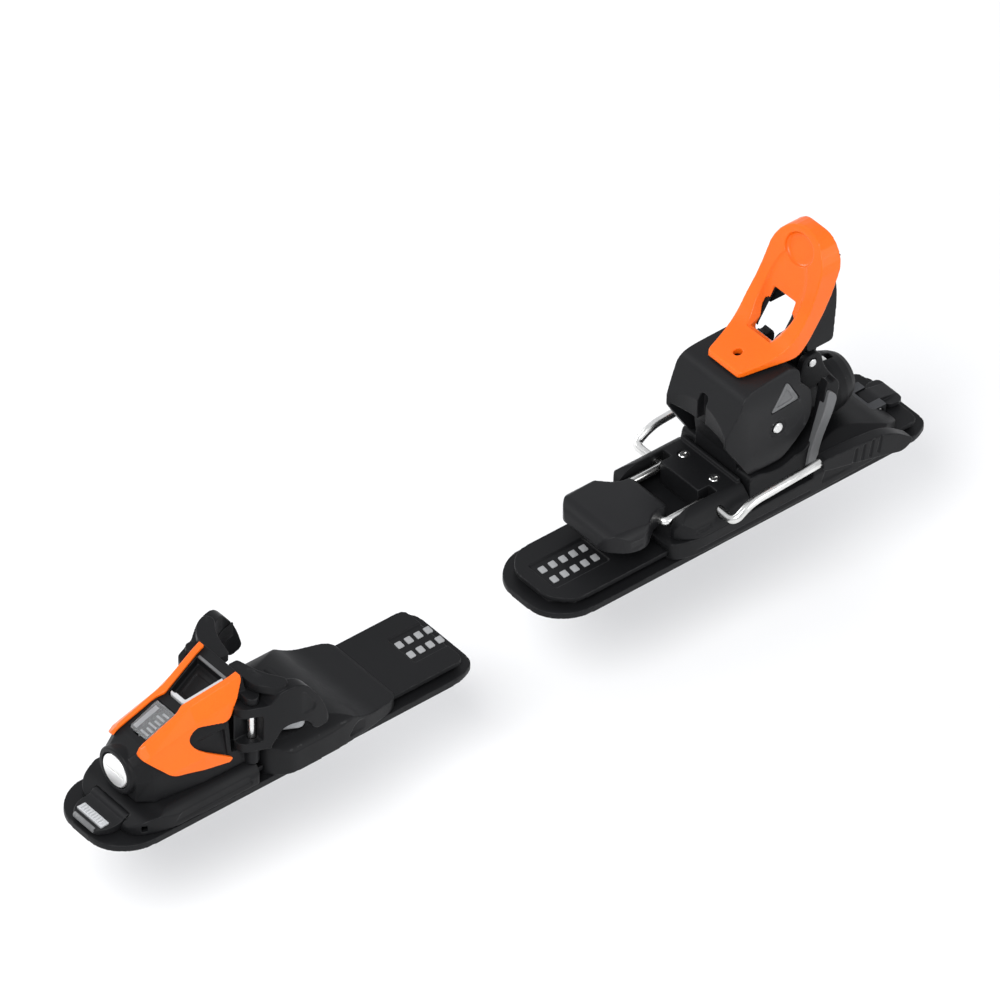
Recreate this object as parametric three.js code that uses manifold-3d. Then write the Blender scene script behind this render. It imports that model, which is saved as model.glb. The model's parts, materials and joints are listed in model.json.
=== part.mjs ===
// Alpine rail binding with ski brake: toe unit, heel unit and their two rails, in millimetres.
// +Z is up from the ski's top face (z = 0), -Y points to the ski tip, +X is the skier's left.
import * as THREE from "three";
import { mergeVertices } from "three/addons/utils/BufferGeometryUtils.js";
import Module from "manifold-3d";

const wasm = await Module();
wasm.setup();

// ---------------------------------------------------------------- driving dimensions

const SOLE_LENGTH = 325;        // boot sole, from toe stop to heel cup
const TOE_UNIT_Y = -162;        // middle of the toe rail
const TOE_STOP = -21;           // where the boot's toe ends, from the toe unit's middle
const HEEL_STOP = -1;           // where the boot's heel ends, from the heel unit's origin
const HEEL_UNIT_Y = TOE_UNIT_Y + TOE_STOP + SOLE_LENGTH - HEEL_STOP;
const SOLE_Z = 30;              // underside of the boot sole above the ski
const HEEL_LUG = 32;            // from the sole's underside to the lip of the heel cup
const PLAY = 0.4;               // gap between pieces that touch

const RAIL = { half: 31, flange: 4, groove: 7, top: 10, webHalf: 22, headHalf: 26 };
const TOE_RAIL = { front: -124, rear: 124, head: -98 };
const HEEL_RAIL = { front: -128, rear: 143, head: -121 };
const TOOTH_PITCH = 5;

const TOE_AXIS_Z = 32;          // axis of the toe spring and its screw
const TOE_TOP = { frontY: -88, frontZ: 49.5, rearY: -28, rearZ: 71 };
const WING_PIVOT = { x: 25, y: -28, radius: 2.2 };

const JAW_PIVOT = { y: 30.3, z: 59.5, radius: 3.2 };
const LEVER_PIVOT = { y: 67, z: 77, radius: 2.5 };
const BARREL = { z: 45, radius: 18, bore: 11, rear: 100 };
const BRAKE_PIVOT = { y: -12, z: 24 };
const PEDAL_PIVOT = { y: -42, z: 24 };
const WIRE = { radius: 2.6, crankX: 19, armX: 42 };

// ---------------------------------------------------------------- shape helpers

function solid(geometry) {
  const bare = geometry.clone();
  bare.deleteAttribute("normal");
  bare.deleteAttribute("uv");
  const merged = mergeVertices(bare, 1e-3);
  const vertProperties = new Float32Array(merged.attributes.position.array);
  const triVerts = new Uint32Array(merged.index.array);
  return new wasm.Manifold(new wasm.Mesh({ numProp: 3, vertProperties, triVerts }));
}

function geometryOf(body) {
  const mesh = body.getMesh();
  const geometry = new THREE.BufferGeometry();
  geometry.setAttribute("position", new THREE.BufferAttribute(new Float32Array(mesh.vertProperties), 3));
  geometry.setIndex(new THREE.BufferAttribute(new Uint32Array(mesh.triVerts), 1));
  geometry.computeVertexNormals();
  return geometry;
}

// An outline is a list of corners [u, v, cut]; cut is how far back the corner's round starts,
// and it never takes more than 45% of an edge.
function outline(corners) {
  const shape = new THREE.Shape();
  const point = (i) => new THREE.Vector2(...corners[(i + corners.length) % corners.length].slice(0, 2));
  corners.forEach(([, , wanted = 0], i) => {
    const here = point(i);
    const shortest = Math.min(here.distanceTo(point(i - 1)), here.distanceTo(point(i + 1)));
    const cut = Math.min(wanted, 0.45 * shortest);
    const before = point(i - 1).sub(here).setLength(cut).add(here);
    const after = point(i + 1).sub(here).setLength(cut).add(here);
    if (i === 0) shape.moveTo(before.x, before.y);
    else shape.lineTo(before.x, before.y);
    if (cut > 0) shape.quadraticCurveTo(here.x, here.y, after.x, after.y);
  });
  shape.closePath();
  return shape;
}

const mirrored = (corners) => [...corners, ...corners.map(([x, y, cut]) => [-x, y, cut]).reverse()];

// Pushes an outline along one axis: "side" outlines are (y, z), "plan" (x, y) and "front" (x, z).
function slab(view, corners, from, to, bevel = 0) {
  const geometry = new THREE.ExtrudeGeometry(outline(corners), {
    depth: to - from - 2 * bevel,
    curveSegments: 3,
    bevelEnabled: bevel > 0,
    bevelThickness: bevel,
    bevelSize: bevel,
    bevelOffset: -bevel,
    bevelSegments: 2,
  });
  geometry.translate(0, 0, bevel);
  if (view === "plan") geometry.translate(0, 0, from);
  if (view === "side") {
    geometry.applyMatrix4(new THREE.Matrix4().set(0, 0, 1, from, 1, 0, 0, 0, 0, 1, 0, 0, 0, 0, 0, 1));
  }
  if (view === "front") {
    geometry.applyMatrix4(new THREE.Matrix4().set(1, 0, 0, 0, 0, 0, -1, to, 0, 1, 0, 0, 0, 0, 0, 1));
  }
  return solid(geometry);
}

function block([x0, x1], [y0, y1], [z0, z1]) {
  const geometry = new THREE.BoxGeometry(x1 - x0, y1 - y0, z1 - z0);
  geometry.translate((x0 + x1) / 2, (y0 + y1) / 2, (z0 + z1) / 2);
  return solid(geometry);
}

// A round bar along "x", "y" or "z"; the centre gives the other two coordinates in axis order.
function bar(axis, radius, from, to, centre, sides = 24, endRadius = radius) {
  const geometry = new THREE.CylinderGeometry(endRadius, radius, to - from, sides);
  const middle = (from + to) / 2;
  if (axis === "x") geometry.rotateZ(-Math.PI / 2).translate(middle, centre[0], centre[1]);
  if (axis === "y") geometry.translate(centre[0], middle, centre[1]);
  if (axis === "z") geometry.rotateX(Math.PI / 2).translate(centre[0], centre[1], middle);
  return solid(geometry);
}

// A body turned about the Y axis through centre (x, z), from (radius, y) pairs that start and end on it.
function turned(profile, centre, sides = 28) {
  const points = profile.map(([radius, y]) => new THREE.Vector2(radius, y));
  const geometry = new THREE.LatheGeometry(points, sides);
  geometry.translate(centre[0], 0, centre[1]);
  return solid(geometry);
}

// A closed skin through sections of equal point count, each { y, half } with half a section as (x, z)
// pairs from its bottom to its top; the other half is its mirror image.
function lofted(sections) {
  const rings = sections.map(({ y, half }) => {
    const full = [...half, ...half.map(([x, z]) => [-x, z]).reverse()];
    return full.map(([x, z]) => [x, y, z]);
  });
  const count = rings[0].length;
  const positions = rings.flat(2);
  const index = [];
  for (let r = 0; r + 1 < rings.length; r += 1) {
    for (let i = 0; i < count; i += 1) {
      const a = r * count + i;
      const b = r * count + ((i + 1) % count);
      index.push(a, b + count, b, a, a + count, b + count);
    }
  }
  const last = (rings.length - 1) * count;
  for (let i = 1; i + 1 < count; i += 1) index.push(0, i, i + 1, last, last + i + 1, last + i);
  const geometry = new THREE.BufferGeometry();
  geometry.setAttribute("position", new THREE.Float32BufferAttribute(positions, 3));
  geometry.setIndex(index);
  return solid(geometry);
}

function tube(curve, radius, steps, sides = 8) {
  const middle = new THREE.Vector2();
  const corner = (_, i) => new THREE.Vector2(radius, 0).rotateAround(middle, (2 * Math.PI * i) / sides);
  const section = new THREE.Shape(Array.from({ length: sides }, corner));
  return solid(new THREE.ExtrudeGeometry(section, { steps, extrudePath: curve }));
}

class Helix extends THREE.Curve {
  constructor(radius, pitch, turns) {
    super();
    Object.assign(this, { radius, pitch, turns });
  }

  getPoint(t, target = new THREE.Vector3()) {
    const angle = 2 * Math.PI * this.turns * t;
    return target.set(
      this.radius * Math.cos(angle),
      this.pitch * this.turns * t,
      this.radius * Math.sin(angle),
    );
  }
}

function spring(radius, wire, turns, length) {
  const pitch = (length - 2 * wire) / turns;
  return tube(new Helix(radius, pitch, turns), wire, Math.round(turns * 10), 5);
}

// A path of straight runs whose corners are rounded; each point is [x, y, z, cut].
function bentPath(points) {
  const path = new THREE.CurvePath();
  const at = (i) => new THREE.Vector3(...points[i].slice(0, 3));
  let last = at(0);
  for (let i = 1; i < points.length; i += 1) {
    const cut = i < points.length - 1 ? points[i][3] : 0;
    const here = at(i);
    const before = at(i - 1).sub(here).setLength(cut).add(here);
    path.add(new THREE.LineCurve3(last, before));
    last = before;
    if (cut > 0) {
      last = at(i + 1).sub(here).setLength(cut).add(here);
      path.add(new THREE.QuadraticBezierCurve3(before, here, last));
    }
  }
  return path;
}

// ---------------------------------------------------------------- finishes and placing

const FINISH = {
  black: { color: 0x232427, roughness: 0.55, metalness: 0 },
  grey: { color: 0x3a3c40, roughness: 0.5, metalness: 0 },
  light: { color: 0xb9bcc0, roughness: 0.45, metalness: 0 },
  orange: { color: 0xff6a12, roughness: 0.4, metalness: 0 },
  clear: { color: 0xd8dde2, roughness: 0.1, metalness: 0 },
  steel: { color: 0xc9ccd0, roughness: 0.3, metalness: 1 },
  spring: { color: 0x8d9094, roughness: 0.35, metalness: 1 },
  white: { color: 0xe8e8e6, roughness: 0.4, metalness: 0 },
};

function place(group, name, body, finish, position = [0, 0, 0]) {
  const mesh = new THREE.Mesh(geometryOf(body), new THREE.MeshStandardMaterial(FINISH[finish]));
  mesh.name = name;
  mesh.position.set(...position);
  group.add(mesh);
  return mesh;
}

const SIDES = [["left", 1], ["right", -1]];

// A mirror pair: the maker is called with the side's sign.
function placePair(group, stem, maker, finish) {
  SIDES.forEach(([word, sign]) => place(group, `${stem}_${word}`, maker(sign), finish));
}

// An outline drawn for the left side, swapped over for the right one.
const sided = (sign, corners) => (sign > 0 ? corners : corners.map(([x, y, cut]) => [-x, y, cut]).reverse());
const span = (sign, a, b) => (sign > 0 ? [a, b] : [-b, -a]);

// ---------------------------------------------------------------- rails and their screws

const RAIL_SCREWS = [[16, -50], [16, 40], [-16, -50], [-16, 40]];
const SCREW = { shank: 2.4, head: 4.6, headDepth: 2.6 };

function rail({ front, rear, head: headFront }, screws, rackFrom, rackTeeth, marks) {
  const nose = mirrored([[17, front, 6], [RAIL.half, front + 14, 8], [RAIL.half, rear, 7]]);
  const head = mirrored([
    [14, headFront, 4], [RAIL.headHalf, headFront + 11, 6], [RAIL.headHalf, rear - 7, 4],
  ]);
  const web = mirrored([[12, headFront + 3], [RAIL.webHalf, headFront + 13], [RAIL.webHalf, rear - 10]]);
  let body = slab("plan", nose, 0, RAIL.flange);
  body = body.add(slab("plan", web, RAIL.flange - 1, RAIL.groove + 1));
  body = body.add(slab("plan", head, RAIL.groove, RAIL.top));
  for (let i = 0; i < rackTeeth; i += 1) {
    const y = rackFrom + i * TOOTH_PITCH;
    body = body.subtract(block([-7, 7], [y, y + TOOTH_PITCH / 2], [RAIL.top - 2, RAIL.top + 1]));
  }
  body = body.subtract(block([-12, 12], marks, [RAIL.top - 0.8, RAIL.top + 1]));
  screws.forEach(([x, y]) => {
    const cone = SCREW.head + PLAY;
    const seat = RAIL.top - 0.6;
    body = body.subtract(bar("z", SCREW.shank + PLAY, -1, RAIL.top + 1, [x, y], 20));
    body = body.subtract(
      bar("z", SCREW.shank + PLAY, seat - SCREW.headDepth - PLAY, seat, [x, y], 20, cone));
    body = body.subtract(bar("z", cone, seat - 0.01, RAIL.top + 1, [x, y], 20));
  });
  return body;
}

function countersunkScrew(length) {
  const slot = [-0.6, 0.6];
  const reach = [-2.6, 2.6];
  return bar("z", SCREW.shank, -length, 0.01 - SCREW.headDepth, [0, 0], 20)
    .add(bar("z", SCREW.shank, -SCREW.headDepth, 0, [0, 0], 20, SCREW.head))
    .subtract(block(slot, reach, [-1.4, 1]))
    .subtract(block(reach, slot, [-1.4, 1]));
}

function addRails(toe, heel) {
  const heelScrews = RAIL_SCREWS.map(([x, y]) => [x, y < 0 ? -30 : 70]);
  const toeRail = rail(TOE_RAIL, RAIL_SCREWS, -94, 8, [94, 119]);
  const heelRail = rail(HEEL_RAIL, heelScrews, 90, 8, [-112, -74]);
  place(toe, "toe_rail", toeRail, "black");
  place(heel, "heel_rail", heelRail, "black");
  const seat = RAIL.top - 0.6;
  [[toe, "toe", RAIL_SCREWS], [heel, "heel", heelScrews]].forEach(([group, word, spots]) => {
    spots.forEach(([x, y], i) => {
      place(group, `${word}_rail_screw_${i + 1}`, countersunkScrew(seat - 0.3), "steel", [x, y, seat]);
    });
  });
}

// The channel that a sliding piece needs to hook round the rail's head.
function railChannel(from, to) {
  const corners = mirrored([
    [RAIL.webHalf + PLAY, -1],
    [RAIL.webHalf + PLAY, RAIL.groove - PLAY],
    [RAIL.headHalf + PLAY, RAIL.groove - PLAY],
    [RAIL.headHalf + PLAY, RAIL.top + PLAY],
  ]);
  return slab("front", corners, from - 1, to + 1);
}

// ---------------------------------------------------------------- toe unit

const CARRIAGE_TOP = 17;
const LATCH_HINGE = { y: -103, z: 8.6, radius: 3.6 };
const slopeAt = (y) => {
  const rise = (TOE_TOP.rearZ - TOE_TOP.frontZ) / (TOE_TOP.rearY - TOE_TOP.frontY);
  return TOE_TOP.frontZ + rise * (y - TOE_TOP.frontY);
};

function toeCarriage() {
  const side = [[-108, 4.4], [-108, 9, 2], [-101, 13.4, 5], [-92, 14.6, 3], [-88, CARRIAGE_TOP, 2],
    [-27, CARRIAGE_TOP, 2], [-27, 4.4]];
  const plan = mirrored([[24, -108, 6], [31, -88, 8], [31, -27, 2]]);
  const { y, z, radius } = LATCH_HINGE;
  return slab("side", side, -32, 32)
    .intersect(slab("plan", plan, 0, 30))
    .subtract(railChannel(-101, -27))
    .subtract(block([-RAIL.headHalf - PLAY, RAIL.headHalf + PLAY], [-110, -96], [0, 4.4]))
    .subtract(block([-14.6, 14.6], [-110, y], [0, 25]))
    .subtract(bar("x", radius + PLAY, -14.6, 14.6, [y, z], 24))
    .subtract(bar("x", 2, -19, 19, [y, z], 16))
    .subtract(bar("y", 14.6, -101, -87, [0, TOE_AXIS_Z], 40));
}

function toeLatch() {
  const { y, z, radius } = LATCH_HINGE;
  const side = [[-122, 4.6, 1], [-122, 8.2, 2], [-108, 9.4, 3], [y, 11, 2], [y, 5.6, 1], [-108, 4.6, 1]];
  const plan = mirrored([[10, -122, 4], [14.2, -116, 4], [14.2, -99]]);
  return slab("side", side, -20, 20)
    .add(bar("x", radius, -14.2, 14.2, [y, z], 24))
    .intersect(slab("plan", plan, 0, 20))
    .subtract(block([-10.8, 10.8], [-118.4, -112.2], [7, 20]))
    .subtract(bar("x", 2, -19, 19, [y, z], 16));
}

function latchGrip() {
  let body = block([-10.4, 10.4], [-118, -112.6], [7.4, 9.2]);
  for (let i = 0; i < 6; i += 1) {
    const x = -8.8 + i * 3.2;
    body = body.add(block([x, x + 1.6], [-117.4, -113.2], [9, 10]));
  }
  return body;
}

// The toe housing's outer form; grow moves its sides and top outward.
function toeForm(grow) {
  const bottom = CARRIAGE_TOP + PLAY;
  const section = (y, ...half) => ({ y, half: half.map(([x, z, out, up]) => [x + grow * out, z + grow * up]) });
  return lofted([
    section(-97 - grow, [14, bottom, 1, 0], [14.5, 30, 1, 0], [12, 40, 1, 0.3], [8, 44, 0.3, 1]),
    section(-89, [20, bottom, 1, 0], [19, 33, 1, 0], [14.6, 45, 0.9, 0.6], [11, 49.2, 0.3, 1]),
    section(-59, [24, bottom, 1, 0], [22, 35, 1, 0], [15.6, 53, 0.8, 0.6], [11, slopeAt(-59), 0.3, 1]),
    section(-35, [24.5, bottom, 1, 0], [22, 41, 1, 0], [19.4, 60, 0.9, 0.5], [16, slopeAt(-35), 0.3, 1]),
    section(TOE_TOP.rearY, [24.5, bottom, 1, 0], [22, 42, 1, 0], [20, 64, 0.9, 0.5], [17, TOE_TOP.rearZ, 0.3, 1]),
  ]);
}

// A plate parallel to the housing's sloping top, a trapezoid in plan, between two heights from that top.
function slopePlate([yFront, yRear], [halfFront, halfRear], [low, high]) {
  const side = [
    [yFront, slopeAt(yFront) + low], [yRear, slopeAt(yRear) + low],
    [yRear, slopeAt(yRear) + high], [yFront, slopeAt(yFront) + high],
  ];
  const plan = mirrored([[halfFront, yFront, 1], [halfRear, yRear, 1]]);
  return slab("side", side, -20, 20).intersect(slab("plan", plan, 30, 90));
}

function toeHousing() {
  let body = toeForm(0).add(bar("y", 14, -100.5, -90, [0, TOE_AXIS_Z], 40));
  SIDES.forEach(([, sign]) => {
    const lug = sided(sign, [[8, -31], [27, -32.4, 3], [29.8, -28, 4], [25, -23.2, 4], [8, -26]]);
    body = body.add(slab("plan", lug, 58.6, 63));
    body = body.add(slab("plan", lug, CARRIAGE_TOP + PLAY, 27.8));
    body = body.subtract(bar("z", WING_PIVOT.radius + 0.3, 10, 80, [sign * WING_PIVOT.x, WING_PIVOT.y], 18));
    const room = sided(sign, [[15, -40, 4], [34, -40], [34, -20], [15, -20]]);
    body = body.subtract(slab("plan", room, 27.8, 58.6));
  });
  return body
    .subtract(slopePlate([-59, -35], [6.5, 12], [-5, 8]))
    .subtract(slopePlate([-85, -65], [7.5, 8.5], [-2.6, 8]))
    .subtract(bar("y", 8.2, -92, -45, [0, TOE_AXIS_Z], 28))
    .subtract(bar("y", 10.8, -102, -97, [0, TOE_AXIS_Z], 36))
    .subtract(bar("y", 3.4, -102, -91, [0, TOE_AXIS_Z], 20))
    .subtract(block([-12.6, 12.6], [-46, -27], [TOE_AXIS_Z - 6, TOE_AXIS_Z + 6]))
    .subtract(block([-2.4, 2.4], [-86, -69], [34, 60]));
}

const PANEL_SIDE = [
  [-94, 46, 1], [-88, 56, 1], [-29, 78], [-29.8, 70], [-40.8, 50, 2], [-60, 52, 2], [-66, 47, 2],
  [-62.6, 40.5, 2], [-40.5, 26, 1.5], [-43, 24.2, 1.5], [-78, 30.5, 2],
];
const PANEL_PLAN = [
  [34, -95], [34, -26], [13.9, -26], [12.9, -35], [7.6, -58, 1], [6.9, -61, 1], [9, -66, 2], [9.4, -88],
  [9.8, -95],
];

function toePanel(sign) {
  const skin = toeForm(2.2).subtract(toeForm(PLAY));
  return skin
    .intersect(slab("side", PANEL_SIDE, ...span(sign, 4, 40)))
    .intersect(slab("plan", sided(sign, PANEL_PLAN), 0, 90));
}

function topTrim() {
  const near = slopePlate([-58, -36.5], [6, 11], [-4, -0.3])
    .subtract(slopePlate([-60, -34], [3.8, 9.4], [-6, 6]))
    .intersect(block([0, 20], [-70, -20], [0, 90]));
  return near.add(slopePlate([-58.4, -55.6], [6, 6.6], [-4, -0.6]));
}

const scaleWindow = () => slopePlate([-84.6, -65.4], [7.1, 8.1], [-1.6, -0.2]);

function toeIndicator() {
  return bar("y", 7.6, -84, -79, [0, TOE_AXIS_Z], 24)
    .add(block([-1.8, 1.8], [-83, -80], [TOE_AXIS_Z + 5, slopeAt(-83) - 3.4]))
    .subtract(bar("y", 3.4, -90, -70, [0, TOE_AXIS_Z], 20));
}

function toePiston() {
  return bar("y", 7.7, -52, -46.6, [0, TOE_AXIS_Z], 24)
    .add(block([-2.4, 2.4], [-47, -38], [TOE_AXIS_Z - 3, TOE_AXIS_Z + 3]))
    .add(block([-12, 12], [-40, -33], [TOE_AXIS_Z - 5, TOE_AXIS_Z + 5]))
    .subtract(bar("y", 3.4, -60, -48.4, [0, TOE_AXIS_Z], 20));
}

function toeScrew() {
  return bar("y", 10, -101, -97.6, [0, TOE_AXIS_Z], 36)
    .add(bar("y", 3, -98, -55, [0, TOE_AXIS_Z], 20))
    .subtract(block([-7.5, 7.5], [-102, -99.6], [TOE_AXIS_Z - 0.9, TOE_AXIS_Z + 0.9]));
}

const WING_PLAN = [
  [21, -25, 2], [24, -32.5, 2], [29, -31, 3], [36, -17, 6], [39.4, -4, 5], [40, 13, 3], [35.6, 14, 2],
  [34.4, 2, 5], [30.4, -8, 5], [24, -17, 4],
];
const WING_SIDE = [
  [-34, 28.2], [-34, 58.2, 2], [-22.4, 58.2], [-18, 65, 4], [-3, 67, 8], [8, 51, 6], [14, 33, 3], [4, 31, 2],
  [-1, 41, 4], [-15, 42, 4], [-21.4, 30, 1], [-21.6, 28.2],
];
const WING_BROW = [
  [3.2, -27.2, 1], [24, -26.6, 3], [33, -20, 4], [36, -12, 3], [31, -9, 2], [20, -16.5, 6], [3.2, -21, 1],
];

// A toe wing: hub round its pin, arm and ear along the boot's side, and a brow over the boot's toe.
function toeWing(sign) {
  const { x, y, radius } = WING_PIVOT;
  const arm = slab("plan", sided(sign, WING_PLAN), 20, 80).intersect(slab("side", WING_SIDE, -60, 60));
  return arm
    .add(slab("plan", sided(sign, WING_BROW), 63.4, 69))
    .subtract(bar("z", radius + 0.3, 10, 63.2, [sign * x, y], 18))
    .subtract(block(span(sign, x - 3.2, x + 8), [y - 8, y + 2.2], [34, 52]))
    .subtract(slab("plan", sided(sign, [[29, -13], [31, -9.6], [34.8, -2], [36, 7], [30, 7]]), 45, 55));
}

function wingPad(sign) {
  const plan = [[29.6, -9.8], [30.6, -9], [34.2, -2], [35.4, 6.4], [34.2, 6.4], [32.8, -2]];
  return slab("plan", sided(sign, plan), 45.4, 54.6);
}

function solePlatform() {
  const side = [
    [-22.6, 4.4], [-22.6, 26, 1], [18, 26, 6], [30, 22.6, 6], [44, 14.5, 6], [70, 11.2, 2], [70, 4.4],
  ];
  const plan = mirrored([[26, -22.6, 3], [36, -12, 8], [36, 30, 14], [29, 70, 5]]);
  const seat = mirrored([[17, -30], [36, 3, 3], [33, 9.6, 3]]);
  return slab("side", side, -40, 40)
    .intersect(slab("plan", plan, 0, 40))
    .subtract(railChannel(-27, 71))
    .subtract(block([-50, 50], [-27, 71], [0, 4.4]))
    .subtract(slab("plan", seat, 24.4, 40));
}

function glidePlate() {
  const plan = mirrored([[15, -21.6, 3], [28.5, 3.4, 3], [25.5, 8.2, 2]]);
  return slab("plan", plan, 24.8, SOLE_Z - 1, 0.8);
}

function addToe(toe) {
  place(toe, "toe_carriage", toeCarriage(), "black");
  place(toe, "toe_latch", toeLatch(), "grey");
  place(toe, "toe_latch_grip", latchGrip(), "light");
  const { y, z } = LATCH_HINGE;
  place(toe, "toe_latch_pin", bar("x", 1.7, -18.5, 18.5, [0, 0], 16), "steel", [0, y, z]);
  place(toe, "toe_housing", toeHousing(), "black");
  placePair(toe, "toe_side_panel", toePanel, "orange");
  place(toe, "toe_top_trim", topTrim(), "light");
  place(toe, "toe_scale_window", scaleWindow(), "clear");
  place(toe, "toe_indicator", toeIndicator(), "white");
  place(toe, "toe_spring", spring(5.4, 1.4, 6, 26), "spring", [0, -77.2, TOE_AXIS_Z]);
  place(toe, "toe_piston", toePiston(), "steel");
  place(toe, "toe_release_screw", toeScrew(), "steel");
  placePair(toe, "toe_wing", toeWing, "black");
  SIDES.forEach(([word, sign]) => {
    const spot = [sign * WING_PIVOT.x, WING_PIVOT.y, 0];
    place(toe, `wing_pin_${word}`, bar("z", WING_PIVOT.radius, 19, 62.6, [0, 0], 18), "steel", spot);
  });
  placePair(toe, "wing_pad", wingPad, "grey");
  place(toe, "sole_platform", solePlatform(), "black");
  place(toe, "glide_plate", glidePlate(), "light");
}

// ---------------------------------------------------------------- heel unit

const BASE_TOP = 15.6;
const TAIL = [[52, BASE_TOP], [56, 25, 3], [84, 29, 12], [112, 22, 6], [124, 13, 3], [124, 4.4]];

function heelBase() {
  const side = [[-46, 4.4], [-46, BASE_TOP, 2], ...TAIL];
  const plan = mirrored([[30, -46, 4], [34, -30, 8], [34, 60, 10], [32, 106, 6], [24, 124, 4]]);
  const crown = mirrored([[36, 4], [34, 19, 3], [26, 25, 6], [14, 31]]);
  return slab("side", side, -40, 40)
    .intersect(slab("plan", plan, 0, 40))
    .intersect(slab("front", crown, -60, 130))
    .subtract(railChannel(-46, 124))
    .subtract(block([-13, 13], [58, 125], [9, 18.6]))
    .subtract(block([-13, 13], [112, 125], [18, 20.4]));
}

function lockBlock() {
  return block([-12, 12], [92, 116], [RAIL.top + PLAY, 18])
    .add(block([-12, -6], [114, 124], [RAIL.top + PLAY, 18]))
    .add(block([6, 12], [114, 124], [RAIL.top + PLAY, 18]))
    .subtract(bar("y", 4.8, 80, 96, [0, 14.4], 20))
    .subtract(bar("x", 1.9, -14, 14, [120, 14.4], 16));
}

function heelLatch() {
  const side = [
    [117, 12.4, 2], [117, 16.6, 2], [124, 17.4, 2], [138, 14.4, 1.5], [138, 11.4, 1.5], [124, 11, 1],
  ];
  return slab("side", side, -5.6, 5.6)
    .add(slab("plan", mirrored([[5, 126, 2], [11, 128, 3], [11, 138, 4]]), 11.4, 14.2))
    .subtract(bar("x", 1.9, -14, 14, [120, 14.4], 16));
}

function brakeHousing() {
  const side = [[-41, 16], [-41, 26, 4], [-32, 31, 5], [8, 31, 1], [8, 16]];
  const front = mirrored([[34.5, 15], [33, 22, 4], [25, 31.5, 4]]);
  let body = slab("side", side, -40, 40)
    .intersect(slab("front", front, -50, 10))
    .intersect(slab("plan", mirrored([[27, -42, 5], [35, -30, 6], [35, 9]]), 0, 50))
    .add(block([-22, 22], [5, 8], [30, 33]))
    .subtract(block([-22.6, 22.6], [-50, -16], [10, 40]));
  SIDES.forEach(([, sign]) => {
    body = body
      .subtract(block(span(sign, 16, 22.6), [-17, -8], [10, 40]))
      .subtract(bar("x", WIRE.radius + 0.3, ...span(sign, 20, 40), [BRAKE_PIVOT.y, BRAKE_PIVOT.z], 20))
      .subtract(bar("z", 1.9, 20, 32, [sign * 13, -2], 16))
      .subtract(bar("z", 3, 29, 33, [sign * 13, -2], 20));
  });
  return body;
}

const housingScrew = () => bar("z", 1.6, -9, -1.4, [0, 0], 16)
  .add(bar("z", 2.6, -1.6, 0.2, [0, 0], 20))
  .subtract(block([-0.5, 0.5], [-2, 2], [-0.6, 1]));

function brakePedal() {
  const plan = mirrored([[18, -86, 6], [26.5, -72, 8], [26.5, -60, 5], [15.4, -47, 3], [15.4, -35, 3]]);
  const side = [[-86, 25, 2], [-83, 35.5, 3], [-35, 31, 3], [-35, 20.6, 3], [-56, 20, 3]];
  return slab("plan", plan, 10, 50)
    .intersect(slab("side", side, -30, 30))
    .subtract(bar("x", WIRE.radius + 0.3, -16, 16, [PEDAL_PIVOT.y, PEDAL_PIVOT.z], 20));
}

function brakeWire(sign) {
  const { crankX, armX, radius } = WIRE;
  const path = bentPath([
    [sign * 1, PEDAL_PIVOT.y, PEDAL_PIVOT.z, 0],
    [sign * crankX, PEDAL_PIVOT.y, PEDAL_PIVOT.z, 4],
    [sign * crankX, BRAKE_PIVOT.y, BRAKE_PIVOT.z, 3.4],
    [sign * armX, BRAKE_PIVOT.y, BRAKE_PIVOT.z, 5],
    [sign * armX, 0, 31.5, 7],
    [sign * armX, 49, 34, 0],
  ]);
  return tube(path, radius, 56, 8);
}

function brakeTip(sign) {
  const side = [[49.4, 29.6, 2], [49.4, 37.4, 2], [98, 33, 6], [116, 19, 5], [108, 14, 5], [84, 21, 8]];
  const [x0, x1] = span(sign, 38.6, 45.6);
  return slab("side", side, x0, x1, 1.2);
}

// ---------------------------------------------------------------- heel housing, cup and lever

const JAW_HALF = 28;
const COLUMN_HALF = 17;
const CUP_INNER = 25;
const CHEEK_REAR = 27.5;

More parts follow.
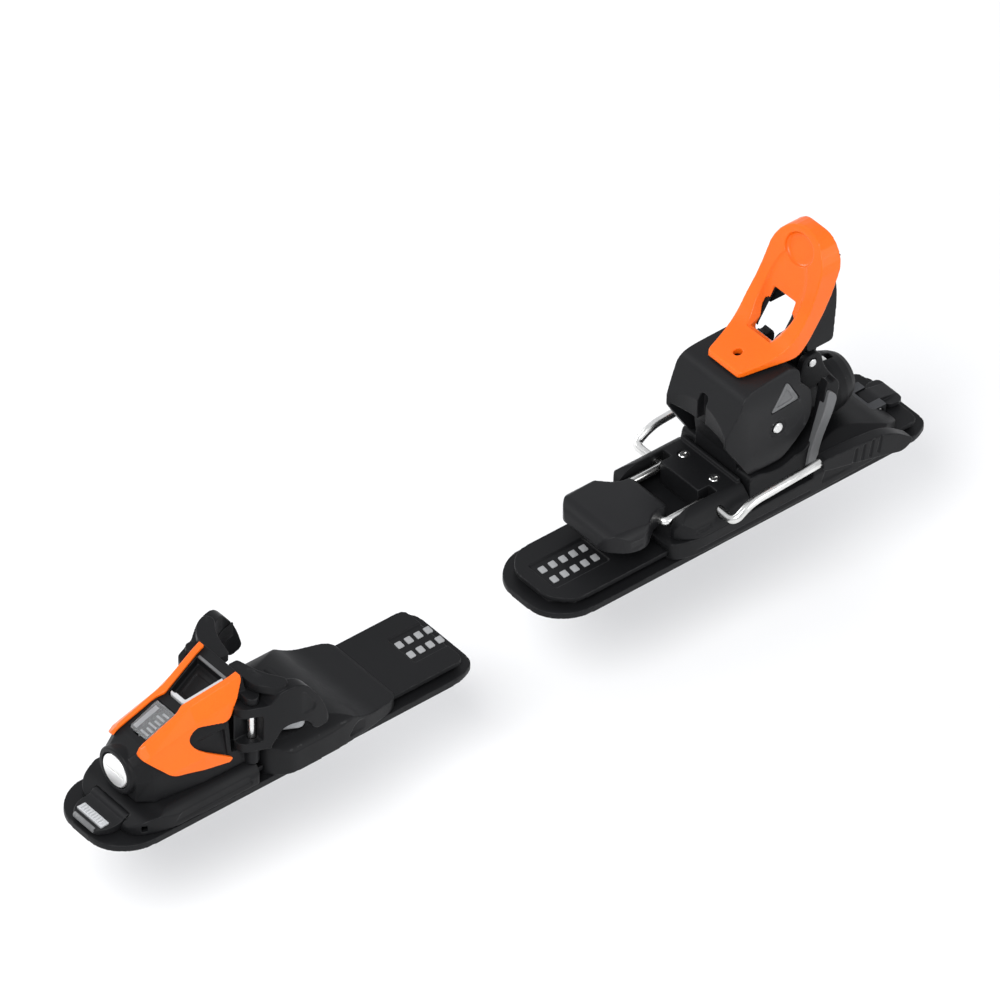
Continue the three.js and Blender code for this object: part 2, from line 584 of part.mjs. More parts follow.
function heelHousing() {
  const { y, z } = JAW_PIVOT;
  const column = slab("side", [[9, 16], [10, 40], [6.6, z], [54, z], [70, 48], [66, 16]], -COLUMN_HALF, COLUMN_HALF)
    .add(bar("x", CUP_INNER - 1, -COLUMN_HALF, COLUMN_HALF, [y, z], 40));
  const flareSide = [
    [9, 16], [10.5, 34, 1], [50, 34], [57, 42], [62, 72, 2], [66, 78, 3], [72, 72, 4], [55, 23, 2], [48, 16],
  ];
  const flare = slab("side", flareSide, -34, 34)
    .intersect(slab("front", mirrored([[31, 15], [28.6, 34, 5], [31.5, 60], [30, 80, 3]]), 0, 80))
    .subtract(block([-24, 24], [0, 80], [50, 95]))
    .subtract(bar("x", CHEEK_REAR + 1, -40, 40, [y, z], 48));
  const { radius, rear } = BARREL;
  const barrel = turned(
    [[0, 50], [radius, 50], [radius, rear - 13], [radius - 1.5, rear - 6], [12.6, rear], [0, rear]], [0, BARREL.z], 36);
  const lugs = slab("side", [[50, 60], [59, 74, 3], [60, 84, 4], [74, 84, 5], [76, 70, 4], [84, 58]], -14, 14)
    .subtract(block([-8.6, 8.6], [40, 90], [64.5, 90]));
  const tailSide = [[51.4, 4], [51.4, BASE_TOP + PLAY], [55.6, 25.5], [84, 29.6], [112, 22.6], [112, 4]];
  return column
    .add(flare)
    .add(barrel)
    .add(lugs)
    .subtract(slab("side", tailSide, -40, 40))
    .subtract(bar("y", BARREL.bore, 58, 110, [0, BARREL.z], 28))
    .subtract(block([-2.4, 2.4], [78, 92], [50, 70]))
    .subtract(bar("x", JAW_PIVOT.radius + 0.3, -40, 40, [y, z], 20))
    .subtract(bar("x", LEVER_PIVOT.radius + 0.3, -40, 40, [LEVER_PIVOT.y, LEVER_PIVOT.z], 18));
}

function heelCup() {
  const { y, z } = JAW_PIVOT;
  const lipZ = SOLE_Z + HEEL_LUG;
  const side = [[-6, lipZ, 1], [-5, 66, 1], [7, 90.4, 4], [14, 92.4, 3], [44, 94.4, 4], [54, 76, 4],
    [55, 55, 6], [34, 34, 3], [11, 34.6, 2]];
  const hollow = slab("side", [[5.3, -5], [5.3, z], [60, z], [60, -5]], -22.7, 22.7)
    .add(block([-22.7, 22.7], [-10, 8], [20, lipZ]))
    .add(bar("x", CUP_INNER, -22.7, 22.7, [y, z], 40))
    .add(slab("side", [[20, 60], [30, 84], [44, 80], [44, 100], [70, 100], [70, 60]], -22.7, 22.7));
  const heelRound = bar("z", 80, 40, 100, [0, HEEL_STOP - 80], 72);
  return slab("side", side, -JAW_HALF, JAW_HALF)
    .intersect(bar("x", CHEEK_REAR, -40, 40, [y, z], 48).add(block([-40, 40], [-10, 46], [58, 100]))
      .add(block([-40, 40], [-10, 31], [30, 60])))
    .subtract(hollow)
    .subtract(heelRound)
    .subtract(block([-3.5, 3.5], [-12, 4], [50, 84]))
    .subtract(bar("x", JAW_PIVOT.radius + 0.3, -40, 40, [y, z], 20));
}

const LEVER_SIDE = [
  [13, 93.4, 1], [13.6, 97, 1.5], [28, 99.8, 6], [41, 104.5, 8], [56, 124, 10], [67, 149, 8], [72.5, 162.5, 4],
  [79, 161.5, 4], [79, 147, 6], [71, 124, 8], [60, 103, 6], [54, 96.4, 2], [30, 95.6],
];
const LEVER_BACK = [[50, 90], [46.5, 103.4], [61, 123.4], [72, 148, 8], [84, 152], [90, 140], [84, 90]];
const WINDOW_SIDE = [[32, 111], [47, 131], [84, 104], [68, 84]];

// The lever's skin is thin at the window: the hollow behind it is open to the rear.
function heelLever() {
  const front = mirrored([[22.5, 88], [22.8, 128, 12], [19, 147, 10], [10, 164.5, 9]]);
  const plan = mirrored([[13.5, 12, 3], [22.8, 44, 5], [22.8, 90]]);
  return slab("side", LEVER_SIDE, -24, 24)
    .intersect(slab("front", front, 0, 100))
    .intersect(slab("plan", plan, 80, 180))
    .subtract(slab("side", LEVER_BACK, -18.6, 18.6))
    .subtract(slab("side", WINDOW_SIDE, -8, 8))
    .subtract(bar("z", 3, 90, 110, [0, 24], 24))
    .subtract(slab("side", STEM_SIDE, -8.6, 8.6));
}

const STEM_SIDE = [
  [61, 72, 3], [66, 69, 4], [74, 72, 4], [78, 90, 6], [83, 118, 8], [81, 138, 4], [76, 143, 3], [72, 140, 3],
  [69.5, 124, 6], [68, 104, 6], [62, 86, 4],
];

const FRAME_SIDE = [
  [79, 147, 2], [84, 145, 3], [85, 128, 4], [84, 112, 3], [80, 103, 2], [76, 107, 2], [72.4, 116, 2],
  [74, 130, 4], [77, 143, 2],
];

// The black frame inside the lever: a bar from the hinge up to a bridge with a plate on either side.
function leverStem() {
  return slab("side", STEM_SIDE, -7, 7, 0.8)
    .add(slab("side", FRAME_SIDE, -18.2, 18.2).subtract(block([-14.4, 14.4], [60, 90], [90, 134])))
    .subtract(bar("x", LEVER_PIVOT.radius + 0.3, -40, 40, [LEVER_PIVOT.y, LEVER_PIVOT.z], 18));
}

function heelIndicator() {
  return bar("y", BARREL.bore - PLAY, 84, 88, [0, BARREL.z], 24)
    .add(block([-1.8, 1.8], [84.4, 87.6], [BARREL.z + 8, BARREL.z + BARREL.radius - 0.8]))
    .subtract(bar("y", 3.6, 80, 92, [0, BARREL.z], 20));
}

const heelPiston = () => bar("y", BARREL.bore - PLAY, 58.6, 64, [0, BARREL.z], 24)
  .add(bar("y", 4, 63.5, 66, [0, BARREL.z], 20));

const heelScrew = () => bar("y", 9, BARREL.rear - 5, BARREL.rear - 1, [0, BARREL.z], 32)
  .add(bar("y", 3.2, 69, BARREL.rear - 4.5, [0, BARREL.z], 20))
  .subtract(block([-7, 7], [BARREL.rear - 2.4, BARREL.rear], [BARREL.z - 0.9, BARREL.z + 0.9]));

function addHeel(heel) {
  place(heel, "heel_base", heelBase(), "black");
  place(heel, "heel_lock_block", lockBlock(), "steel");
  place(heel, "heel_latch", heelLatch(), "grey");
  place(heel, "heel_latch_pin", bar("x", 1.6, -11.6, 11.6, [0, 0], 16), "steel", [0, 120, 14.4]);
  place(heel, "forward_pressure_spring", spring(3.4, 1, 8, 36), "spring", [0, 59.4, 14.4]);
  place(heel, "brake_housing", brakeHousing(), "black");
  SIDES.forEach(([word, sign]) => {
    place(heel, `brake_housing_screw_${word}`, housingScrew(), "steel", [sign * 13, -2, 30.8]);
  });
  place(heel, "brake_pedal", brakePedal(), "grey");
  placePair(heel, "brake_wire", brakeWire, "steel");
  placePair(heel, "brake_tip", brakeTip, "black");
  place(heel, "heel_housing", heelHousing(), "black");
  place(heel, "heel_cup", heelCup(), "grey");
  place(heel, "heel_lever", heelLever(), "orange");
  place(heel, "lever_stem", leverStem(), "black");
  const cupPin = bar("x", JAW_PIVOT.radius, -28.6, 28.6, [0, 0], 20);
  const leverPin = bar("x", LEVER_PIVOT.radius, -13.8, 13.8, [0, 0], 18);
  place(heel, "heel_cup_pin", cupPin, "steel", [0, JAW_PIVOT.y, JAW_PIVOT.z]);
  place(heel, "lever_pin", leverPin, "steel", [0, LEVER_PIVOT.y, LEVER_PIVOT.z]);
  place(heel, "heel_spring", spring(7.6, 1.3, 4, 17), "spring", [0, 66.6, BARREL.z]);
  place(heel, "heel_piston", heelPiston(), "steel");
  place(heel, "heel_indicator", heelIndicator(), "white");
  place(heel, "heel_release_screw", heelScrew(), "steel");
}

// ---------------------------------------------------------------- assembly

const binding = new THREE.Group();
const toeUnit = new THREE.Group();
const heelUnit = new THREE.Group();
toeUnit.position.y = TOE_UNIT_Y;
heelUnit.position.y = HEEL_UNIT_Y;
binding.add(toeUnit, heelUnit);

addRails(toeUnit, heelUnit);
addToe(toeUnit);
addHeel(heelUnit);

export default binding;
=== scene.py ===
"""Looks of the alpine ski binding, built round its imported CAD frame.

Outlines are in millimetres in the frame of their own unit: y runs from the toe unit's or the heel unit's
own origin along the ski, and z up from the ski. Every other length is in metres, as Blender has it.
"""

import json
import math

import bmesh
import bpy
from mathutils import Matrix, Vector

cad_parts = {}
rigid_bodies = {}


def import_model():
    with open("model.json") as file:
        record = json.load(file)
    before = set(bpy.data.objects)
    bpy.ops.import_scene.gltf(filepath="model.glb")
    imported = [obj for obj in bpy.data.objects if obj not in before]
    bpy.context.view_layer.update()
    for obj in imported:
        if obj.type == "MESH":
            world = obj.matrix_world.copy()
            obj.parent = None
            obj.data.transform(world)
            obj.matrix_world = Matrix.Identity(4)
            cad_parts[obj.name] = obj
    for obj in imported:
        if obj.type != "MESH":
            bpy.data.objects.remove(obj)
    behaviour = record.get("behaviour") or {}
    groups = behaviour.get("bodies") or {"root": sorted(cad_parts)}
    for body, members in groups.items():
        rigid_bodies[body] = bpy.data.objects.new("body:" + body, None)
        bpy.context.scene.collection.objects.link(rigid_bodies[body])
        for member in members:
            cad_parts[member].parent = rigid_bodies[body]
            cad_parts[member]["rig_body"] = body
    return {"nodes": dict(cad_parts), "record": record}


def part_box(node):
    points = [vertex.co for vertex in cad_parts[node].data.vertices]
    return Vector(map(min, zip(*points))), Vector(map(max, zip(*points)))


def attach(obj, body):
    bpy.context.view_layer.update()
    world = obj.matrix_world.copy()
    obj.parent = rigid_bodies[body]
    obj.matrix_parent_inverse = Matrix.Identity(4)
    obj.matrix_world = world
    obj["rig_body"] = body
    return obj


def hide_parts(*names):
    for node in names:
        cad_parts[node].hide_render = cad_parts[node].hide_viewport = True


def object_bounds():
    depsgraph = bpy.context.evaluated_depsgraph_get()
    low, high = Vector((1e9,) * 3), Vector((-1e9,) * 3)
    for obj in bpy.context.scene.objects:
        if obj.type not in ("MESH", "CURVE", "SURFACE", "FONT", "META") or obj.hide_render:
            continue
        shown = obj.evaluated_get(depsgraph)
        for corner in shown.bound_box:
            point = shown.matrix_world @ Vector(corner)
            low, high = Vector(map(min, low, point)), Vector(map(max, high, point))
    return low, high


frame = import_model()
cad_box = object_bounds()

MM = 0.001
HEEL_RAIL_FRONT = 128
SIDES = {"left": 1, "right": -1}

toe_rail_low, toe_rail_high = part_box("toe_rail")
heel_rail_low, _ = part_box("heel_rail")
TOE = (toe_rail_low.y + toe_rail_high.y) / 2
HEEL = heel_rail_low.y + HEEL_RAIL_FRONT * MM


# ---------------------------------------------------------------- outlines and solids


def rounded(corners, steps=7):
    """A closed outline. A corner is (u, v) or (u, v, cut), and a cut corner becomes an arc."""
    points = []
    for i, (u, v, *cut) in enumerate(corners):
        here = Vector((u, v))
        before = Vector(corners[i - 1][:2]) - here
        after = Vector(corners[(i + 1) % len(corners)][:2]) - here
        if not cut:
            points.append(here)
            continue
        reach = min(cut[0], 0.48 * before.length, 0.48 * after.length)
        start = here + before.normalized() * reach
        end = here + after.normalized() * reach
        for k in range(steps + 1):
            t = k / steps
            points.append(start * (1 - t) ** 2 + here * (2 * t * (1 - t)) + end * t * t)
    return points


def mirrored(corners):
    """Half an outline, x above 0, and its mirror image."""
    return list(corners) + [(-c[0], *c[1:]) for c in reversed(corners)]


def sided(sign, corners):
    return [(sign * c[0], *c[1:]) for c in corners]


PLACING = {
    "plan": lambda u, v, w: (u, v, w),
    "side": lambda u, v, w: (w, u, v),
    "front": lambda u, v, w: (u, w, v),
}


def object_from(bm, name="solid"):
    bmesh.ops.recalc_face_normals(bm, faces=bm.faces)
    mesh = bpy.data.meshes.new(name)
    bm.to_mesh(mesh)
    bm.free()
    obj = bpy.data.objects.new(name, mesh)
    bpy.context.scene.collection.objects.link(obj)
    return obj


def skin(rings, capped=True):
    """A closed mesh through rings of equal point count, in unit millimetres."""
    bm = bmesh.new()
    rows = [[bm.verts.new(p) for p in ring] for ring in rings]
    for a, b in zip(rows, rows[1:]):
        for i in range(len(a)):
            j = (i + 1) % len(a)
            bm.faces.new((a[i], a[j], b[j], b[i]))
    if capped:
        bm.faces.new(rows[0])
        bm.faces.new(list(reversed(rows[-1])))
    return object_from(bm)


def slab(view, corners, start, end, steps=7):
    """An outline drawn in one view and extruded along that view's line of sight."""
    outline = rounded(corners, steps)
    place = PLACING[view]
    return skin([[place(p.x, p.y, w) for p in outline] for w in (start, end)])


def block(x, y, z):
    return slab("plan", [(x[0], y[0]), (x[1], y[0]), (x[1], y[1]), (x[0], y[1])], *z)


def lathe(axis, profile, centre=(0, 0), sides=64):
    """A turned piece about an X, Y or Z axis; profile is (radius, distance along the axis)."""
    place = {
        "x": lambda u, v, w: (w, u, v),
        "y": lambda u, v, w: (u, w, v),
        "z": lambda u, v, w: (u, v, w),
    }[axis]
    turns = [2 * math.pi * i / sides for i in range(sides)]
    rings = [
        [place(centre[0] + r * math.cos(t), centre[1] + r * math.sin(t), w) for t in turns]
        for r, w in profile
    ]
    return skin(rings)


def bar(axis, radius, start, end, centre=(0, 0), chamfer=0, sides=64):
    """A round bar; chamfer breaks both of its edges."""
    if not chamfer:
        return lathe(axis, [(radius, start), (radius, end)], centre, sides)
    step = math.copysign(chamfer, end - start)
    profile = [(radius - chamfer, start), (radius, start + step), (radius, end - step), (radius - chamfer, end)]
    return lathe(axis, profile, centre, sides)


def bent_path(corners, steps=8):
    """A wire's centre line through (x, y, z, bend) corners; bend is where its arc starts."""
    points = []
    for i, (x, y, z, bend) in enumerate(corners):
        here = Vector((x, y, z))
        if not bend:
            points.append(here)
            continue
        before = Vector(corners[i - 1][:3]) - here
        after = Vector(corners[i + 1][:3]) - here
        start = here + before.normalized() * bend
        end = here + after.normalized() * bend
        for k in range(steps + 1):
            t = k / steps
            points.append(start * (1 - t) ** 2 + here * (2 * t * (1 - t)) + end * t * t)
    return points


def wire(points, radius, sides=24):
    """A round wire along points, with its ends rounded off."""
    rings = []
    side = None
    for i, p in enumerate(points):
        ahead = (points[min(i + 1, len(points) - 1)] - points[max(i - 1, 0)]).normalized()
        side = ahead.orthogonal() if side is None else side - ahead * side.dot(ahead)
        side.normalize()
        up = ahead.cross(side)
        scales = [(0, 1)]
        if i == 0:
            scales = [(-radius * 0.5, 0.6), (-radius * 0.2, 0.9), (0, 1)]
        if i == len(points) - 1:
            scales = [(0, 1), (radius * 0.2, 0.9), (radius * 0.5, 0.6)]
        for shift, scale in scales:
            turns = [2 * math.pi * k / sides for k in range(sides)]
            spoke = [side * math.cos(t) + up * math.sin(t) for t in turns]
            rings.append([p + ahead * shift + s * radius * scale for s in spoke])
    return skin(rings)


def close_gaps(mesh):
    """Welds a mesh's split corners and fills any slit that a cut left open."""
    bm = bmesh.new()
    bm.from_mesh(mesh)
    bmesh.ops.remove_doubles(bm, verts=bm.verts, dist=0.002)
    open_edges = [edge for edge in bm.edges if edge.is_boundary]
    if open_edges:
        bmesh.ops.holes_fill(bm, edges=open_edges, sides=0)
    bm.to_mesh(mesh)
    bm.free()


class Shape:
    """A solid in unit millimetres that is cut and joined, then becomes a finished piece."""

    def __init__(self, base):
        self.base = base
        self.parts = [base]

    def _combine(self, other, operation):
        modifier = self.base.modifiers.new(operation, "BOOLEAN")
        modifier.operation = operation
        modifier.solver = "EXACT"
        modifier.object = other.base if isinstance(other, Shape) else other
        self.parts += other.parts if isinstance(other, Shape) else [other]
        return self

    def add(self, *others):
        for other in others:
            self._combine(other, "UNION")
        return self

    def cut(self, *others):
        for other in others:
            self._combine(other, "DIFFERENCE")
        return self

    def keep(self, *others):
        for other in others:
            self._combine(other, "INTERSECT")
        return self

    def mesh(self):
        bpy.context.view_layer.update()
        graph = bpy.context.evaluated_depsgraph_get()
        mesh = bpy.data.meshes.new_from_object(self.base.evaluated_get(graph))
        close_gaps(mesh)
        for part in self.parts:
            old = part.data
            bpy.data.objects.remove(part)
            bpy.data.meshes.remove(old)
        return mesh


# ---------------------------------------------------------------- from a solid to a finished piece


def finish_piece(name, mesh, body, nodes, material):
    """A piece that rides on body, stands for CAD nodes and takes the material it is given."""
    obj = bpy.data.objects.new(name, mesh)
    bpy.context.scene.collection.objects.link(obj)
    mesh.materials.clear()
    mesh.materials.append(material)
    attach(obj, body)
    if nodes:
        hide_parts(*nodes)
    return obj


def soften(mesh, voxel, passes, ratio=0.35):
    """Remeshes a solid evenly, rounds its edges off and thins the result."""
    obj = bpy.data.objects.new("soft", mesh)
    bpy.context.scene.collection.objects.link(obj)
    remesh = obj.modifiers.new("remesh", "REMESH")
    remesh.mode = "VOXEL"
    remesh.voxel_size = voxel * 1
    smooth = obj.modifiers.new("smooth", "SMOOTH")
    smooth.factor = 0.5
    smooth.iterations = passes
    thin = obj.modifiers.new("thin", "DECIMATE")
    thin.ratio = ratio
    bpy.context.view_layer.update()
    graph = bpy.context.evaluated_depsgraph_get()
    result = bpy.data.meshes.new_from_object(obj.evaluated_get(graph))
    bpy.data.objects.remove(obj)
    bpy.data.meshes.remove(mesh)
    result.shade_smooth()
    return result


def moulded(name, shape, unit, body, nodes, material, voxel=0.4, passes=6):
    """A moulded piece, from a shape in unit millimetres: every edge comes out slightly rounded."""
    mesh = soften(shape.mesh(), voxel, passes)
    mesh.transform(Matrix.Translation((0, unit, 0)) @ Matrix.Scale(MM, 4))
    return finish_piece(name, mesh, body, nodes, material)


def hard(name, shape, unit, body, nodes, material, bevel=0.25, angle=35):
    """A turned or pressed piece, from a shape in unit millimetres: flat faces, small bevels."""
    mesh = shape.mesh()
    obj = bpy.data.objects.new("hard", mesh)
    bpy.context.scene.collection.objects.link(obj)
    if bevel:
        edge = obj.modifiers.new("bevel", "BEVEL")
        edge.width = bevel
        edge.segments = 2
        edge.limit_method = "ANGLE"
        edge.angle_limit = math.radians(angle)
    bpy.context.view_layer.update()
    graph = bpy.context.evaluated_depsgraph_get()
    result = bpy.data.meshes.new_from_object(obj.evaluated_get(graph))
    bpy.data.objects.remove(obj)
    bpy.data.meshes.remove(mesh)
    result.transform(Matrix.Translation((0, unit, 0)) @ Matrix.Scale(MM, 4))
    result.shade_smooth()
    result.set_sharp_from_angle(angle=math.radians(angle))
    return finish_piece(name, result, body, nodes, material)


def refined(node, voxel=0.4, passes=6):
    """A CAD node with its edges rounded, standing for that node."""
    source = frame["nodes"][node]
    mesh = source.data.copy()
    mesh.transform(Matrix.Scale(1 / MM, 4))
    close_gaps(mesh)
    mesh = soften(mesh, voxel, passes)
    mesh.transform(Matrix.Scale(MM, 4))
    slot, material = FINISH_OF[node]
    return finish_piece(node + "_finished", mesh, source["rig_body"], [node], material)


# ---------------------------------------------------------------- materials


def new_material(name):
    material = bpy.data.materials.new(name)
    material.use_nodes = True
    return material, material.node_tree.nodes, material.node_tree.links


def noise(nodes, links, scale, detail=4, stretch=None):
    """A noise value in the row frame; scale is in features a metre, stretch multiplies each axis."""
    place = nodes.new("ShaderNodeTexCoord").outputs["Object"]
    if stretch:
        mapping = nodes.new("ShaderNodeMapping")
        mapping.inputs["Scale"].default_value = stretch
        links.new(place, mapping.inputs["Vector"])
        place = mapping.outputs["Vector"]
    texture = nodes.new("ShaderNodeTexNoise")
    texture.inputs["Scale"].default_value = scale
    texture.inputs["Detail"].default_value = detail
    links.new(place, texture.inputs["Vector"])
    return texture.outputs["Fac"]


def ramp(nodes, links, value, stops):
    """A colour ramp; stops are (position, colour) with colour a grey level or (r, g, b)."""
    node = nodes.new("ShaderNodeValToRGB")
    elements = node.color_ramp.elements
    for i, (position, colour) in enumerate(stops):
        element = elements[i] if i < 2 else elements.new(position)
        element.position = position
        rgb = colour if isinstance(colour, tuple) else (colour,) * 3
        element.color = (*rgb, 1)
    links.new(value, node.inputs["Fac"])
    return node.outputs["Color"]


def mixed(nodes, links, fac, a, b, blend="MIX"):
    node = nodes.new("ShaderNodeMix")
    node.data_type = "RGBA"
    node.blend_type = blend
    for socket, value in zip((node.inputs["Factor"], node.inputs["A"], node.inputs["B"]), (fac, a, b)):
        if isinstance(value, bpy.types.NodeSocket):
            links.new(value, socket)
        elif isinstance(value, tuple):
            socket.default_value = (*value, 1)
        else:
            socket.default_value = value
    return node.outputs["Result"]


def bumped(nodes, links, shader, height, strength, distance):
    bump = nodes.new("ShaderNodeBump")
    bump.inputs["Strength"].default_value = strength
    bump.inputs["Distance"].default_value = distance
    links.new(height, bump.inputs["Height"])
    links.new(bump.outputs["Normal"], shader.inputs["Normal"])


def plastic(name, colour, rough, grain=0.35, scuff=0.5, coat=0.0, shine=0.5):
    """Moulded plastic: a fine spark-eroded grain, uneven gloss, and scuffs that lighten raised edges."""
    material, nodes, links = new_material(name)
    shader = nodes["Principled BSDF"]
    cloud = ramp(nodes, links, noise(nodes, links, 28, 3), [(0.35, 0.92), (0.65, 1.0)])
    speck = ramp(nodes, links, noise(nodes, links, 1400, 2), [(0.3, 0.9), (0.7, 1.0)])
    tone = mixed(nodes, links, 1.0, mixed(nodes, links, 1.0, colour, cloud, "MULTIPLY"), speck, "MULTIPLY")
    edge = nodes.new("ShaderNodeNewGeometry").outputs["Pointiness"]
    raised = ramp(nodes, links, edge, [(0.515, 0.0), (0.56, 1.0)])
    patchy = ramp(nodes, links, noise(nodes, links, 240, 5), [(0.42, 0.0), (0.62, scuff)])
    wear = mixed(nodes, links, 1.0, raised, patchy, "MULTIPLY")
    lighter = tuple(min(1.0, c * 1.3 + 0.03) for c in colour)
    links.new(mixed(nodes, links, wear, tone, lighter), shader.inputs["Base Color"])
    handling = noise(nodes, links, 60, 6)
    gloss = ramp(nodes, links, handling, [(0.3, max(rough - 0.04, 0.05)), (0.7, min(rough + 0.05, 1.0))])
    links.new(gloss, shader.inputs["Roughness"])
    shader.inputs["Specular IOR Level"].default_value = shine
    shader.inputs["Coat Weight"].default_value = coat
    shader.inputs["Coat Roughness"].default_value = 0.12
    bumped(nodes, links, shader, noise(nodes, links, 2600, 3), grain, 0.00012)
    return material


def metal(name, colour, rough, stretch, grain=0.12, stain=0.78):
    """Plated or drawn steel: brushed along one axis, with faint darker staining."""
    material, nodes, links = new_material(name)
    shader = nodes["Principled BSDF"]
    dull = ramp(nodes, links, noise(nodes, links, 90, 5), [(0.35, stain), (0.6, 1.0)])
    links.new(mixed(nodes, links, 1.0, colour, dull, "MULTIPLY"), shader.inputs["Base Color"])
    lines = noise(nodes, links, 420, 4, stretch)
    links.new(ramp(nodes, links, lines, [(0.3, rough - 0.07), (0.7, rough + 0.1)]), shader.inputs["Roughness"])
    shader.inputs["Metallic"].default_value = 1.0
    bumped(nodes, links, shader, lines, grain, 0.00006)
    return material


def clear(name):
    """The clear cover of the release scale."""
    material, nodes, links = new_material(name)
    shader = nodes["Principled BSDF"]
    shader.inputs["Base Color"].default_value = (0.93, 0.95, 0.96, 1)
    shader.inputs["Transmission Weight"].default_value = 0.92
    shader.inputs["IOR"].default_value = 1.49
    links.new(ramp(nodes, links, noise(nodes, links, 300, 4), [(0.3, 0.03), (0.7, 0.12)]), shader.inputs["Roughness"])
    return material


BLACK = plastic("black_plastic", (0.0082, 0.0084, 0.0091), 0.42, shine=0.12)
# Darker than the black plastic, as painted shade: for the lever's hollow, the toe recess, the scale window and the wing
# pads.
SHADE_BLACK = plastic("painted_shade_black", (0.004, 0.004, 0.0045), 0.5, scuff=0.2, shine=0.2)
GREY = plastic("grey_plastic", (0.0105, 0.0107, 0.0116), 0.4, shine=0.16)
DARK_STEEL = metal("blackened_steel", (0.09, 0.092, 0.096), 0.4, (1, 12, 12))
# A lighter grey as painted highlight: lit facets and edges on the heel's rear bands, the cheek plates, the recess's
# rear edge and the latch lip.
HIGHLIGHT_GREY = plastic("painted_highlight_grey", (0.11, 0.112, 0.115), 0.4, scuff=0.25)
MARK = plastic("mark_plastic", (0.3, 0.305, 0.31), 0.5, scuff=0.1)
LIGHT = plastic("light_plastic", (0.5, 0.51, 0.52), 0.42, scuff=0.1)
WHITE = plastic("white_plastic", (0.82, 0.82, 0.8), 0.4, grain=0.2, scuff=0.1)
ORANGE = plastic("orange_plastic", (0.86, 0.135, 0.004), 0.34, grain=0.2, scuff=0.1, coat=0.08, shine=0.26)
STEEL = metal("plated_steel", (0.76, 0.76, 0.75), 0.26, (1, 12, 12))
WIRE = metal("drawn_steel", (0.82, 0.82, 0.8), 0.22, (12, 1, 12))
PIN = metal("pin_steel", (0.85, 0.85, 0.84), 0.24, (12, 12, 1))
DISC = metal("bright_disc", (0.95, 0.95, 0.94), 0.42, (1, 12, 12), grain=0.03, stain=0.96)
COIL = metal("spring_steel", (0.5, 0.51, 0.53), 0.3, (6, 6, 6))
CLEAR = clear("clear_cover")

FINISH = {
    "black": BLACK,
    "grey": GREY,
    "light": LIGHT,
    "orange": ORANGE,
    "white": WHITE,
    "clear": CLEAR,
    "steel": STEEL,
    "spring": COIL,
}
FINISH_OF = {}
for entry in frame["record"]["subparts"]:
    FINISH_OF[entry["node"]] = (entry["material_slot"], FINISH[entry["material_slot"]])
for node in ("toe_piston", "heel_piston", "heel_lock_block"):
    FINISH_OF[node] = ("steel", DARK_STEEL)
for node, (slot_name, material) in FINISH_OF.items():
    mesh = frame["nodes"][node].data
    mesh.materials.clear()
    mesh.materials.append(material)


# ---------------------------------------------------------------- heel unit

LIP = 62
CUP_AXIS = (30.3, 59.5)
LEVER_AXIS = (67, 77)
BARREL_Z = 45
BARREL_RADIUS = 18
BARREL_REAR = 100
WINDOW = [(32, 113, 3), (47, 133.5, 3), (77, 100), (62, 79)]


def heel_lever():
    """The orange step-out lever: a thin shell with a window, a thumb hollow and a rolled rim."""
    side = [
        (13, 93.4, 1), (13.6, 97, 2), (28, 99.4, 10), (41, 104.5, 14), (56, 124, 24), (66, 150, 14), (71.5, 163.5, 7),
        (80.5, 161.5, 10), (79, 146, 14), (69.5, 125, 16), (55.4, 104, 12), (48, 97, 4), (30, 95.4, 2),
    ]
    arc = [math.radians(12 * i) for i in range(1, 8)]
    front = mirrored([(22.5, 88), (22.6, 124, 10), *[(21.8 * math.cos(t), 139 + 22.8 * math.sin(t)) for t in arc]])
    plan = mirrored([(13, 12, 5), (22.8, 46, 8), (22.8, 92)])
    hollow = [(45, 90), (44.4, 101.4), (59.4, 123.6), (69.8, 147.6, 8), (84, 153), (92, 140), (84, 90)]
    shell = Shape(slab("side", side, -24, 24, 14))
    shell.keep(slab("front", front, 0, 110, 16), slab("plan", plan, 80, 180, 10))
    shell.cut(slab("side", hollow, -18.4, 18.4, 12))
    shell.cut(Shape(slab("side", WINDOW, -9, 9)).keep(slab("front", mirrored([(9, 70, 2), (9, 140, 2)]), 0, 120)))
    shell.cut(bar("z", 2.6, 90, 110, (0, 24)))
    shell.cut(slab("side", STEM_SIDE, -8.7, 8.7, 10))
    shell.cut(lever_dish(2.6, (11.4, 9.4), 149), lever_dish(1.0, (14.4, 25), 126))
    return shell


def lever_liner():
    """A lining of the lever's hollow, open where its window is, in a near-black that paints the shade inside the
    hollow.
    """
    outer = [(46.6, 99), (45.4, 102), (60, 124, 6), (70.6, 146.6, 8), (80, 150), (72, 125, 16), (58, 105, 12), (50, 98)]
    inner = [(44, 90), (46.8, 101.8), (61.2, 124, 6), (71.8, 145.4, 6), (90, 150), (90, 90)]
    liner = Shape(slab("side", outer, -18.3, 18.3, 10)).cut(slab("side", inner, -17.3, 17.3, 10))
    liner.cut(slab("side", [(32, 113), (47, 133.5), (77, 100), (62, 79)], -9.3, 9.3))
    return liner


def lever_dish(depth, radii, height, sides=48):
    """An oval hollow, sunk depth into the lever's sloping front face at that height."""
    lean = math.atan2(66 - 56, 150 - 124)
    foot = Vector((0, 56, 124))
    along = Vector((0, math.sin(lean), math.cos(lean)))
    out = Vector((0, -math.cos(lean), math.sin(lean)))
    middle_point = foot + along * (height - 124) / math.cos(lean)
    across = Vector((1, 0, 0))
    rings = []
    for scale, shift in ((0.82, -depth), (0.95, -depth * 0.7), (1.0, 0), (1.12, 3), (1.3, 9)):
        turns = [2 * math.pi * i / sides for i in range(sides)]
        ring = []
        for t in turns:
            u = radii[0] * scale * math.cos(t)
            v = radii[1] * scale * math.sin(t)
            ring.append(middle_point + across * u + along * v + out * shift)
        rings.append(ring)
    return skin(rings)


